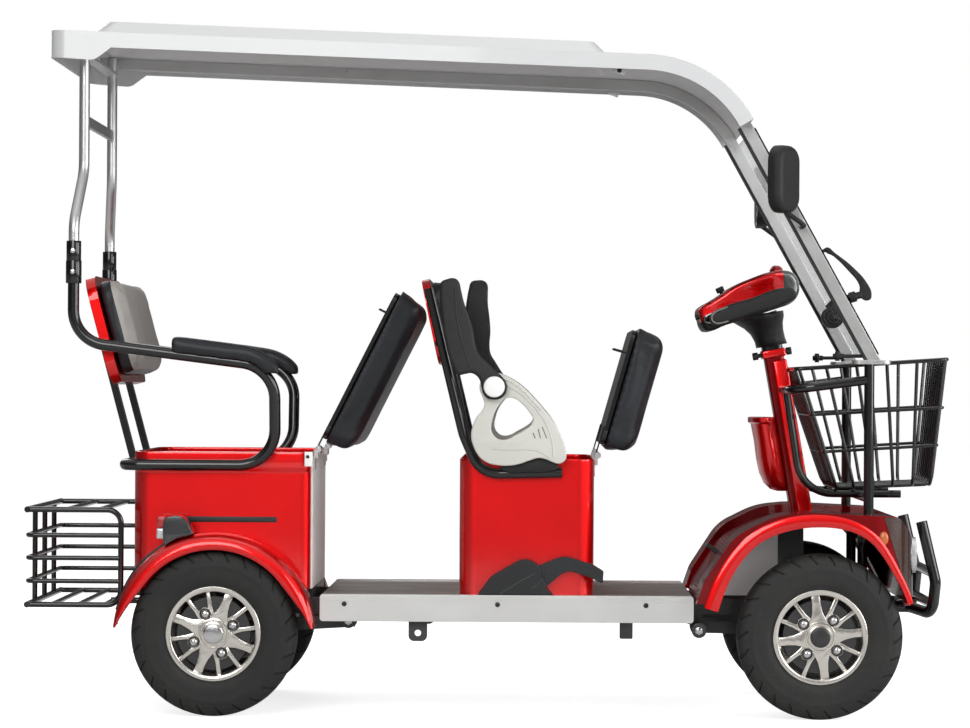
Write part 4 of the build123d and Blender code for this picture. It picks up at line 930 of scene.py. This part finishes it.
# Roof: a white-silver gelcoat shell with a raised middle, screwed to aluminium rails that form the pillars.
# Rear posts of bright tube stand in black sleeves on the arm frame, each held by two bolts.
# Rubber seals line the pillars, and a bolted strap joins the roof to the rail on each side.
POST_X, POST_Y = -1.018, -0.345
SLEEVES = ((1.056, 1.112, 0.0192), (1.11, 1.16, 0.018))
SEAL_LINE, SEAL_R = [(0.611, -0.3, 1.449), (0.926, -0.3, 0.881)], 0.005
STRAP_X, STRAP_Z, STRAP_SIZE = 0.318, 1.596, (0.03, 0.003, 0.034)
STRAP_TILT = Matrix.Rotation(math.radians(20), 4, "Y")
shell_white = finish("roof_gelcoat", (0.6, 0.605, 0.61), (0.597, 0.602, 0.607), 0.34, coat=0.35,
                     grain=(200, 40, 0.0002), edge=0.0015, rub=(0.05, (0.7, 0.7, 0.7)), dust=0.0,
                     drift=0.01, tone=2.0)
dress(shell_white, "roof_panel")
rail_silver = finish("rail_silver", (0.56, 0.56, 0.555), (0.5, 0.5, 0.495), 0.3, metal=0.8, coat=0.3,
                     grain=(900, 200, 0.0002), edge=0.003, rub=(0.3, (0.8, 0.8, 0.8)), dust=0.04)
dress(rail_silver, "roof_rails", "roof_posts", "seat_hinges")
sleeves = bmesh.new()
sleeve_bolts = bmesh.new()
for low, high, r in SLEEVES:
    root, tip = ((POST_X, POST_Y - r + inward, (low + high) / 2) for inward in (0.001, -0.004))
    round_bar(sleeves, (POST_X, POST_Y, low), (POST_X, POST_Y, high), r, 32, 0.0012)
    round_bar(sleeve_bolts, root, tip, 0.0062, 16, 0.0015)
paired("post_sleeves", sleeves, gloss_black, "black_steel")
paired("post_bolts", sleeve_bolts, nut_chrome, "silver_alloy")
seals = bmesh.new()
bead(seals, SEAL_LINE, SEAL_R, True)
paired("pillar_seals", seals, cap_black, "black_plastic")
straps = block((STRAP_X, -0.3167, STRAP_Z), STRAP_SIZE, 0.0012, turn=STRAP_TILT)
strap_bolts = bmesh.new()
for dx, dz in ((0.003, 0.0085), (-0.003, -0.0085)):
    x, z = STRAP_X + dx, STRAP_Z + dz
    round_bar(strap_bolts, (x, -0.317, z), (x, -0.3235, z), 0.0062, 6, 0.001)
paired("roof_straps", straps, rail_silver, "silver_alloy")
paired("strap_bolts", strap_bolts, screw_black, "black_steel")

# Windscreen: one sheet of clear cast acrylic, screwed to the fronts of the two pillars.
# It is almost invisible against a pale background, with only its edges showing.
glass = bpy.data.materials.new("clear_acrylic")
glass.use_nodes = True
set_inputs(glass.node_tree, glass.node_tree.nodes["Principled BSDF"], {
    "Base Color": (0.93, 0.95, 0.95, 1), "Transmission Weight": 1.0, "Roughness": 0.02, "IOR": 1.2})
dress(glass, "windscreen")

# Guards: ivory plastic side panels between the seat frame and the armrest pivots, injection moulded.
# A raised border runs inside the edge, three slots sit by the hand hole, and a black foot clips to the tube.
GUARD_Y = (-0.3433, -0.3256)
GUARD_EDGE = [(0.015, 0.844), (0.048, 0.833), (0.081, 0.811), (0.11, 0.783), (0.133, 0.757),
              (0.154, 0.731), (0.172, 0.701), (0.184, 0.673), (0.19, 0.649), (0.189, 0.633),
              (0.18, 0.624), (0.168, 0.622), (0.155, 0.626), (0.138, 0.633), (0.12, 0.635), (0.1, 0.629),
              (0.074, 0.62), (0.048, 0.616), (0.022, 0.617), (-0.005, 0.624), (-0.024, 0.639),
              (-0.037, 0.662), (-0.043, 0.685), (-0.041, 0.708), (-0.031, 0.733), (-0.016, 0.752),
              (-0.011, 0.766), (-0.016, 0.784), (-0.023, 0.803), (-0.02, 0.823), (-0.007, 0.838)]
HAND_HOLE = [(0.025, 0.764), (0.043, 0.781), (0.061, 0.781), (0.084, 0.765), (0.1, 0.746), (0.108, 0.731),
             (0.104, 0.718), (0.087, 0.704), (0.064, 0.691), (0.048, 0.682), (0.028, 0.68),
             (0.013, 0.689), (0.006, 0.705), (0.009, 0.728), (0.015, 0.747)]
BORDERS = [[(0.046, 0.809), (0.071, 0.799), (0.1, 0.773), (0.127, 0.742), (0.143, 0.716), (0.153, 0.686),
            (0.158, 0.66), (0.159, 0.637)],
           [(0.012, 0.657), (0.048, 0.654), (0.081, 0.656), (0.113, 0.655), (0.14, 0.644), (0.154, 0.633)],
           [(0.016, 0.836), (0.046, 0.826), (0.077, 0.805), (0.105, 0.778), (0.127, 0.752)]]
SLOTS = [[(0.109, 0.697), (0.114, 0.684)], [(0.121, 0.707), (0.127, 0.684)], [(0.131, 0.712), (0.142, 0.684)]]
CLIP_Y = (-0.329, -0.314)
CLIP_EDGE = [(0.03, 0.612), (0.06, 0.62), (0.1, 0.632), (0.125, 0.637), (0.16, 0.626), (0.172, 0.612),
             (0.15, 0.602), (0.1, 0.6), (0.05, 0.599)]
ivory = finish("ivory_plastic", (0.6, 0.595, 0.55), (0.56, 0.555, 0.51), 0.36, coat=0.2,
               grain=(700, 60, 0.0003), edge=0.003, rub=(0.1, (0.8, 0.79, 0.74)), dust=0.04)
slot_grey = finish("slot_grey", (0.2, 0.19, 0.17), (0.16, 0.155, 0.14), 0.6)
bm = moulding([GUARD_EDGE, HAND_HOLE], *GUARD_Y, 0.0035)
for border in BORDERS:
    bead(bm, at_y(GUARD_Y[0], border), 0.0011)
guard = paired("ivory_guards", bm, ivory, "white_plastic", 40)
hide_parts("armrest_guards")
slots = bmesh.new()
for slot_line in SLOTS:
    bead(slots, at_y(GUARD_Y[0], slot_line), 0.0013, True)
paired("guard_slots", slots, slot_grey, "grey_plastic")
paired("guard_clips", moulding([CLIP_EDGE], *CLIP_Y, 0.002), pad_black, "black_plastic", 40)

# Armrests: folding arms of self-skinned black foam over a steel core, raised as for getting in.
# A white cap covers each pivot, with the arm's round boss showing as a dark ring.
PIVOT = (0.013, 0.809)
LEANS = (("right", 0), ("left", 13))
ARM_Y = (-0.3736, -0.345)
ARM_EDGE = [(-0.121, 1.043), (-0.119, 1.063), (-0.105, 1.071), (-0.084, 1.073), (-0.075, 1.065),
            (-0.07, 1.047), (-0.063, 1.018), (-0.05, 0.982), (-0.039, 0.946), (-0.033, 0.911),
            (-0.025, 0.89), (-0.006, 0.87), (0.012, 0.852), (0.03, 0.836), (0.041, 0.822),
            (0.0445, 0.806), (0.039, 0.79), (0.026, 0.78), (0.012, 0.7775), (-0.004, 0.781),
            (-0.014, 0.792), (-0.0185, 0.808), (-0.022, 0.824), (-0.032, 0.837), (-0.044, 0.842),
            (-0.058, 0.84), (-0.077, 0.838), (-0.088, 0.856), (-0.1, 0.887), (-0.111, 0.938),
            (-0.116, 0.98), (-0.12, 1.017)]
CREASE = [(-0.084, 1.05), (-0.083, 0.997), (-0.075, 0.95), (-0.063, 0.904), (-0.046, 0.856)]
CAP_SECTION = [(0.0, -0.3788), (0.018, -0.3786), (0.0236, -0.3776), (0.0256, -0.3756), (0.0258, -0.372)]
foam_black = finish("foam_black", (0.011, 0.0115, 0.012), (0.015, 0.0155, 0.0165), 0.5,
                    grain=(700, 90, 0.0008), edge=0.003, rub=(0.1, (0.05, 0.05, 0.05)), dust=0.03,
                    specular=0.35)
for side, lean in LEANS:
    arm = moulding([ARM_EDGE], *ARM_Y, 0.009)
    bead(arm, at_y(ARM_Y[0] + 0.0003, CREASE), 0.0012)
    cap = bmesh.new()
    spun(cap, CAP_SECTION, 40, PIVOT)
    weld(cap)
    for mesh in (arm, cap):
        turn_mesh(mesh, lean, centre=(PIVOT[0], 0, PIVOT[1]))
        if side == "left":
            bmesh.ops.scale(mesh, verts=mesh.verts, vec=(1, -1, 1))
        face_outward(mesh)
    padded_arm = finished("foam_armrest_" + side, arm, foam_black, "black_plastic", 50, "armrest_" + side)
    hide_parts("armrest_" + side)
    finished("pivot_cap_" + side, cap, white, "white_plastic", 50, "armrest_" + side)

# Front cowl: one moulded shell of two fenders and a sunken footwell, sprayed candy red and shown in the
# darker copy of the red, a painted shade.
# A bright lip follows each wheel arch and thins towards the front, with a black lining behind it whose black
# also stands in for the shade under the cowl, a painted shade.
# A smoked lens wraps the front corners, and an amber indicator is let into each side.
COWL_SIDE_Y = 0.4
ARCH_LINE = [(0.5437, 0.27), (0.5562, 0.3108), (0.5793, 0.3612), (0.6106, 0.4074), (0.6483, 0.4453),
             (0.6985, 0.4708), (0.7572, 0.486), (0.8158, 0.4885), (0.866, 0.4825), (0.9078, 0.468),
             (0.9455, 0.4415), (0.9748, 0.4), (0.9999, 0.3554), (1.0209, 0.3137), (1.0292, 0.287)]
LIP_SHARES = (1.1, 1.1, 1.05, 1, 1, 1, 1, 0.95, 0.88, 0.8, 0.7, 0.6, 0.52, 0.45, 0.4)
ARCH_LIP_R, LIP_FLATNESS = 0.017, 0.36
LINING_Y, LINING_WIDE, LINING_THICK = -0.393, 0.11, 0.002
SPLASH_AT, SPLASH_SIZE = (0.752, -0.1915, 0.38), (0.064, 0.003, 0.17)
COWL_WELD = 0.0001
WRAP_CUTS = (((0.979, 0, 0.45), (-0.92, 0, -0.3)), ((1.02, 0, 0.497), (0, 0, 1)),
             ((1.02, 0, 0.3), (0, 0, -1)))
WRAP_AXIS_X, WRAP_FACING, WRAP_PROUD = 0.9, 0.4, 0.0012
INDICATOR_AT, INDICATOR_RADII = (0.962, -0.3965, 0.446), (0.0125, 0.006, 0.017)
INDICATOR_TURN = Matrix.Rotation(math.radians(-12), 4, "Z")
smoke = finish("smoked_lens", (0.035, 0.016, 0.012), (0.05, 0.022, 0.017), 0.12, coat=0.8, dust=0.03)
amber = finish("amber_lens", (0.55, 0.13, 0.01), (0.45, 0.09, 0.008), 0.2, coat=0.6,
               grain=(400, 120, 0.001), dust=0.02)


def faces_out(face):
    """Whether a face of the cowl looks away from its middle."""
    middle = face.calc_center_median()
    return face.normal.dot(Vector((middle.x - WRAP_AXIS_X, middle.y, 0)).normalized()) > WRAP_FACING


def dome(centre, radii, turn=Matrix()):
    """A round moulding with its own half size on each axis."""
    bm = bmesh.new()
    bmesh.ops.create_uvsphere(bm, u_segments=24, v_segments=16, radius=1,
                              matrix=Matrix.Translation(centre) @ turn @ Matrix.Diagonal((*radii, 1)))
    return bm


# The shell takes the darker copy of the red: painted shade on the same paint.
cowl = finished("cowl_shell", cad_copy("front_cowl", COWL_WELD), shaded_red, "red_paint", 30)
even_normals(cowl)
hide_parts("front_cowl")
lip = bmesh.new()
bead(lip, at_y(-COWL_SIDE_Y, ARCH_LINE), ARCH_LIP_R, shares=LIP_SHARES)
bmesh.ops.scale(lip, verts=lip.verts, vec=(1, LIP_FLATNESS, 1), space=Matrix.Translation((0, COWL_SIDE_Y, 0)))
paired("arch_lips", lip, red, "red_paint", 60)
# The black linings and splash screens are black plastic, and their black also stands in for the shade under
# the cowl: painted shade.
lining = bmesh.new()
line = [lining.verts.new((x, LINING_Y, z)) for x, z in ARCH_LINE[3:]]
rail = [lining.edges.new(pair) for pair in zip(line, line[1:])]
drawn = bmesh.ops.extrude_edge_only(lining, edges=rail)["geom"]
shift(lining, only(bmesh.types.BMVert, drawn), (0, LINING_WIDE, 0))
face_outward(lining)
bmesh.ops.solidify(lining, geom=lining.faces[:], thickness=LINING_THICK)
paired("arch_linings_and_shade", lining, cap_black, "black_plastic", 50)
paired("splash_screens_and_shade", block(SPLASH_AT, SPLASH_SIZE, 0.001), cap_black, "black_plastic")
wrap = cad_copy("front_cowl", COWL_WELD)
for co, no in WRAP_CUTS:
    bmesh.ops.bisect_plane(wrap, geom=whole(wrap), plane_co=co, plane_no=no, clear_outer=True)
bmesh.ops.delete(wrap, geom=[face for face in wrap.faces if not faces_out(face)], context="FACES")
for vert in wrap.verts:
    vert.co += vert.normal * WRAP_PROUD
finished("smoked_wrap", wrap, smoke, "clear_glass", 30)
indicator = dome(INDICATOR_AT, INDICATOR_RADII, INDICATOR_TURN)
paired("side_indicators", indicator, amber, "clear_glass", 60)

# Steering column: a square steel casing in the darker copy of the red, a painted shade, with a bright red
# front cover clipped over it.
# Its rounded edges catch a white line; the cover ends below the clamp.
COLUMN_HEAD = Vector((0.718, 0, 0.902))
COLUMN_UP = Vector((-0.1736, 0, 0.9848))
COLUMN_FORE = Vector((0.9848, 0, 0.1736))
COLUMN_FRAME = Matrix((COLUMN_FORE, Vector((0, 1, 0)), COLUMN_UP)).transposed().to_4x4()
COVER_AT, COVER_SIZE = COLUMN_HEAD + COLUMN_UP * -0.222 + COLUMN_FORE * 0.011, (0.038, 0.07, 0.4)
cover = block(COVER_AT, COVER_SIZE, 0.006, 4, COLUMN_FRAME)
finished("column_cover", cover, red, "red_paint", 40)

# Pouch: a deep drawn bucket of sheet steel behind the column, sprayed red, with a flat lip round its mouth.
# It is spot welded to the casing; its rings are (Z, rear X, half width), from inside the mouth to the foot.
POUCH_RINGS = [(0.69, 0.674, 0.072), (0.7345, 0.6625, 0.081), (0.736, 0.659, 0.085),
               (0.7345, 0.656, 0.088), (0.723, 0.656, 0.088), (0.7205, 0.66, 0.084),
               (0.719, 0.663, 0.081), (0.676, 0.6715, 0.079), (0.63, 0.6775, 0.076),
               (0.5945, 0.685, 0.069), (0.568, 0.697, 0.056), (0.553, 0.713, 0.038), (0.548, 0.73, 0.018)]
POUCH_SEAT = 0.023


def lofted(places, segments):
    """Unit circles set by matrices and joined in order; returns the mesh and the edges of each ring."""
    bm = bmesh.new()
    rings = []
    for place in places:
        made = bmesh.ops.create_circle(bm, cap_ends=False, segments=segments, radius=1, matrix=place)
        ring = set(made["verts"])
        rings.append([e for e in bm.edges if ring.issuperset(e.verts)])
    for low, high in zip(rings, rings[1:]):
        bmesh.ops.bridge_loops(bm, edges=low + high)
    return bm, rings


pouch_places = []
for z, rear, half in POUCH_RINGS:
    front = COLUMN_HEAD.x + (z - COLUMN_HEAD.z) * COLUMN_UP.x / COLUMN_UP.z - POUCH_SEAT
    ring_size = Matrix.Diagonal(((front - rear) / 2, half, 1, 1))
    pouch_places.append(Matrix.Translation(((rear + front) / 2, 0, z)) @ ring_size)
bucket, loops = lofted(pouch_places, 48)
for end in (loops[0], loops[-1]):
    bmesh.ops.edgeloop_fill(bucket, edges=end)
face_outward(bucket)
pouch = finished("drawn_pouch", bucket, red, "red_paint", 50)
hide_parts("column_pouch")

# Basket: thick steel wires bent to U shapes both ways and welded to two hoops and a stouter rim.
# It is coated gloss black; the wires turn in a wide bend at the floor, so there is no bottom hoop.
FLOOR_RING = {"x": (0.862, 1.106), "z": (0.5605, 0.5715), "half": 0.178}
LOW_RING = {"x": (0.832, 1.117), "z": (0.652, 0.67), "half": 0.19}
HIGH_RING = {"x": (0.8, 1.129), "z": (0.744, 0.764), "half": 0.202}
RIM_RING = {"x": (0.761, 1.1371), "z": (0.858, 0.884), "half": 0.216}
HOOPS = ((LOW_RING, 0.0042), (HIGH_RING, 0.0042), (RIM_RING, 0.0054))
HOOP_CORNERS = [(0.5, -1), (0.9, -1), (1, -1), (1, -0.85), (1, 0.85), (1, 1), (0.9, 1), (0.1, 1), (0, 1),
                (0, 0.85), (0, -0.85), (0, -1), (0.1, -1), (0.5, -1)]
BASKET_WIRE = 0.0044
WIRES_ALONG = (0.02, 0.2, 0.4, 0.6, 0.8, 0.98)
WIRES_ACROSS = (-0.83, -0.62, -0.42, -0.21, 0, 0.21, 0.42, 0.62, 0.83)
BEND_AT = 0.84


def on_ring(ring, along, across):
    """A point of a hoop's plane: along from rear 0 to front 1, across from right -1 to left 1."""
    x0, x1 = ring["x"]
    z0, z1 = ring["z"]
    return Vector((x0 + (x1 - x0) * along, ring["half"] * across, z0 + (z1 - z0) * along))


def bent_wire(bm, start, end):
    """A U wire from rim to rim between two (along, across) places, turning in a wide bend at each foot."""
    top, other_top = on_ring(RIM_RING, *start), on_ring(RIM_RING, *end)
    foot, other_foot = on_ring(FLOOR_RING, *start), on_ring(FLOOR_RING, *end)
    floor = [foot.lerp(other_foot, share) for share in (1 - BEND_AT, 0.5, BEND_AT)]
    bead(bm, [top, top.lerp(foot, 0.5), top.lerp(foot, BEND_AT), foot, *floor, other_foot,
              other_top.lerp(other_foot, BEND_AT), other_top.lerp(other_foot, 0.5), other_top], BASKET_WIRE)


wires = bmesh.new()
for along in WIRES_ALONG:
    bent_wire(wires, (along, -1), (along, 1))
for across in WIRES_ACROSS:
    bent_wire(wires, (0, across), (1, across))
for hoop, r in HOOPS:
    bead(wires, [on_ring(hoop, *corner) for corner in HOOP_CORNERS], r)
basket = finished("wire_basket", wires, gloss_black, "black_steel", 50)
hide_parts("basket")

# Wiper: a motor in a round black housing behind the screen, with its shaft through the acrylic.
# The sprung arm is folded steel painted matt black; the blade's rubber lip lies on the screen.
# Knobs with cross bars hold the screen's lower corners to the pillars.
WIPER_Y = -0.08
MOTOR_X, MOTOR_Z = 0.862, 0.989
MOTOR_STEPS = ((-0.066, -0.112, 0.0275, 40, 0.003), (-0.11, -0.116, 0.0175, 32, 0.0015),
               (-0.114, -0.119, 0.0085, 24, 0.001))
SHAFT_STEPS = (((0.852, WIPER_Y, 1.01), (0.876, WIPER_Y, 1.036), 0.011, 24, 0.0),
               ((0.872, WIPER_Y, 1.03), (0.936, WIPER_Y, 1.0475), 0.009, 24, 0.001),
               ((0.905, WIPER_Y, 1.0385), (0.922, WIPER_Y, 1.0435), 0.0135, 24, 0.002))
WIPER_ARM = [(0.934, 1.04), (0.956, 1.034), (0.961, 1.048), (0.951, 1.074), (0.915, 1.115),
             (0.868, 1.152), (0.846, 1.166), (0.842, 1.16), (0.866, 1.143), (0.902, 1.108), (0.93, 1.072)]
WIPER_ARM_HALF = 0.007
SCREEN_LINE = [(0.6458, 1.4498), (0.9595, 0.892)]
KNOB_BARS = (((0.926, -0.3, 0.8905), (0.862, -0.3, 0.8895), 0.0045, 16, 0.0),
             ((0.872, -0.3, 0.8895), (0.845, -0.3, 0.8893), 0.0068, 16, 0.001),
             ((0.856, -0.3, 0.878), (0.856, -0.3, 0.9015), 0.006, 16, 0.001),
             ((0.856, -0.312, 0.8895), (0.856, -0.288, 0.8895), 0.006, 16, 0.001))


def off_screen(z, gap):
    """A point in front of the screen at a height."""
    (x0, z0), (x1, z1) = SCREEN_LINE
    return (x0 + (x1 - x0) * (z - z0) / (z1 - z0) + gap, WIPER_Y, z)


wiper = moulding([WIPER_ARM], WIPER_Y - WIPER_ARM_HALF, WIPER_Y + WIPER_ARM_HALF, 0.002)
for start, end, *shape in MOTOR_STEPS:
    round_bar(wiper, (MOTOR_X, start, MOTOR_Z), (MOTOR_X, end, MOTOR_Z), *shape)
for bar in SHAFT_STEPS:
    round_bar(wiper, *bar)
round_bar(wiper, (0.85, WIPER_Y, 1.163), off_screen(1.15, 0.012), 0.0045, 12)
bead(wiper, [off_screen(1.192, 0.013), off_screen(1.15, 0.016), off_screen(1.075, 0.013)], 0.0062)
bead(wiper, [off_screen(1.194, 0.0055), off_screen(1.073, 0.0055)], 0.0035, True)
wiper_piece = finished("screen_wiper", wiper, pad_black, "black_plastic", 40)
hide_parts("wiper")
knobs = bmesh.new()
for bar in KNOB_BARS:
    round_bar(knobs, *bar)
paired("pillar_knobs", knobs, pad_black, "black_plastic")

# Steering head: red dash shell over a black tray, its upward faces in the darker copy of the red as painted
# shade, with a smoked nose and oval hand grips round the bar ends.
# A throttle knob and a key boss stand on top; a flared rubber boot closes the neck above the bolted clamp.
DASH_EDGE = [(0.524, 1.006), (0.528, 0.982), (0.536, 0.96), (0.545, 0.953), (0.59, 0.967), (0.636, 0.982),
             (0.69, 1.000), (0.729, 1.013), (0.756, 1.024), (0.775, 1.046), (0.777, 1.076), (0.762, 1.1),
             (0.737, 1.107), (0.701, 1.102), (0.65, 1.084), (0.61, 1.066), (0.581, 1.046), (0.556, 1.03),
             (0.535, 1.018)]
DASH_HALF = 0.127
NOSE_FROM, NOSE_LONG, NOSE_TAPER = 0.66, 0.118, 0.26
TAIL_FROM, TAIL_LONG, TAIL_TAPER = 0.6, 0.076, 0.1
TRAY_LINE = (Vector((0.541, 0, 0.978)), Vector((-0.304, 0, 0.953)))
NOSE_LINE = (Vector((0.738, 0, 1.06)), Vector((1, 0, 0.1)))
SHADED_TOP_FACING = 0.45
GRIP_Y = (-0.2205, -0.1915)
GRIP_EDGE = [(0.553, 0.968), (0.572, 0.968), (0.65, 0.992), (0.738, 1.022), (0.757, 1.036),
             (0.757, 1.054), (0.738, 1.06), (0.65, 1.034), (0.572, 1.008), (0.552, 0.996), (0.546, 0.981)]
HIGHLIGHT_RING_LINE = [(0.59, 1.011), (0.572, 1.005), (0.555, 0.996), (0.549, 0.982), (0.557, 0.971), (0.574, 0.97),
             (0.592, 0.976)]
HIGHLIGHT_RING_Y, HIGHLIGHT_RING_R = -0.2185, 0.0022
KNOB_FOOT, KNOB_UP = Vector((0.5855, -0.062, 1.044)), Vector((-0.42, 0, 0.908))
BOOT_RINGS = ((0.016, 0.04, 0.051, 0.0), (0.032, 0.039, 0.05, -0.002), (0.052, 0.042, 0.054, -0.006),
              (0.07, 0.05, 0.062, -0.012), (0.088, 0.064, 0.078, -0.02), (0.1, 0.074, 0.084, -0.03))
BOOT_WALL = 0.003
CLAMP_AT, CLAMP_SIZE = COLUMN_HEAD + COLUMN_UP * -0.004, (0.06, 0.072, 0.022)
head = moulding([DASH_EDGE], -DASH_HALF, DASH_HALF, 0.012)
for vert in head.verts:
    forward = max(vert.co.x - NOSE_FROM, 0) / NOSE_LONG
    back = max(TAIL_FROM - vert.co.x, 0) / TAIL_LONG
    vert.co.y *= 1 - NOSE_TAPER * forward ** 2 - TAIL_TAPER * back ** 2
for co, no in (TRAY_LINE, NOSE_LINE):
    bmesh.ops.bisect_plane(head, geom=whole(head), plane_co=co, plane_no=no)
for face in head.faces:
    middle = face.calc_center_median()
    if (middle - NOSE_LINE[0]).dot(NOSE_LINE[1]) > 0:
        face.material_index = 2
    elif (middle - TRAY_LINE[0]).dot(TRAY_LINE[1]) < 0:
        face.material_index = 1
    # Upward faces take the darker copy of the red: painted shade.
    elif face.normal.z > SHADED_TOP_FACING:
        face.material_index = 3
dash = finished("dash_shell", head, red, "red_paint", 45, body="steering")
for material in (pad_black, lamp_smoke, shaded_red):
    dash.data.materials.append(material)
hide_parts("dash_housing")
paired("oval_grips", moulding([GRIP_EDGE], *GRIP_Y, 0.009), pad_black, "black_plastic", 45, body="steering")
# A grey bead round each grip's rear end: its light grey is a painted highlight, the soft light caught by the
# grip's rounded rear end.
ring = bmesh.new()
bead(ring, at_y(HIGHLIGHT_RING_Y, HIGHLIGHT_RING_LINE), HIGHLIGHT_RING_R)
paired("grip_highlight_rings", ring, slot_grey, "grey_plastic", body="steering")
knob = bmesh.new()
round_bar(knob, KNOB_FOOT, KNOB_FOOT + KNOB_UP * 0.01, 0.0045, 16)
round_bar(knob, KNOB_FOOT + KNOB_UP * 0.008, KNOB_FOOT + KNOB_UP * 0.022, 0.0105, 24, 0.002)
round_bar(knob, (0.5285, -0.07, 0.99), (0.5165, -0.07, 0.9865), 0.007, 20, 0.001)
finished("throttle_knob", knob, pad_black, "black_plastic", body="steering")
# The key boss takes the darker copy of the red: painted shade.
key_boss = dome((0.722, -0.055, 1.107), (0.017, 0.022, 0.014))
finished("key_boss", key_boss, shaded_red, "red_paint", 60, body="steering")
boot_places = []
for height, fore, wide, shift in BOOT_RINGS:
    middle = COLUMN_HEAD + COLUMN_UP * height + COLUMN_FORE * shift
    ring_frame = Matrix((COLUMN_FORE * fore, Vector((0, wide, 0)), COLUMN_UP)).transposed().to_4x4()
    boot_places.append(Matrix.Translation(middle) @ ring_frame)
boot, _ = lofted(boot_places, 40)
face_outward(boot)
boot_piece = finished("neck_boot", boot, pad_black, "black_plastic", 50, body="steering")
wall = boot_piece.modifiers.new("wall", "SOLIDIFY")
wall.thickness = BOOT_WALL
finished("column_clamp", block(CLAMP_AT, CLAMP_SIZE, 0.004, 3, COLUMN_FRAME), red, "red_paint")
clamp_bolts = bmesh.new()
for sign, reach in ((-1, 0.052), (1, 0.044)):
    out = COLUMN_FORE * sign
    start = CLAMP_AT + Vector((0, -0.022, 0)) + out * 0.028
    round_bar(clamp_bolts, start, start + out * (reach - 0.036), 0.0055, 16)
    round_bar(clamp_bolts, start + out * (reach - 0.04), start + out * (reach - 0.026), 0.0095, 6, 0.001)
finished("clamp_bolts", clamp_bolts, screw_black, "black_steel")

# Mirror glasses: silvered glass let into the black mirror shells, facing the driver.
# Each is slightly proud of its shell so the edge shows.
silver = finish("mirror_silver", (0.85, 0.86, 0.87), (0.82, 0.83, 0.84), 0.04, metal=1.0, dust=0.02)
dress(silver, "mirror_glasses")
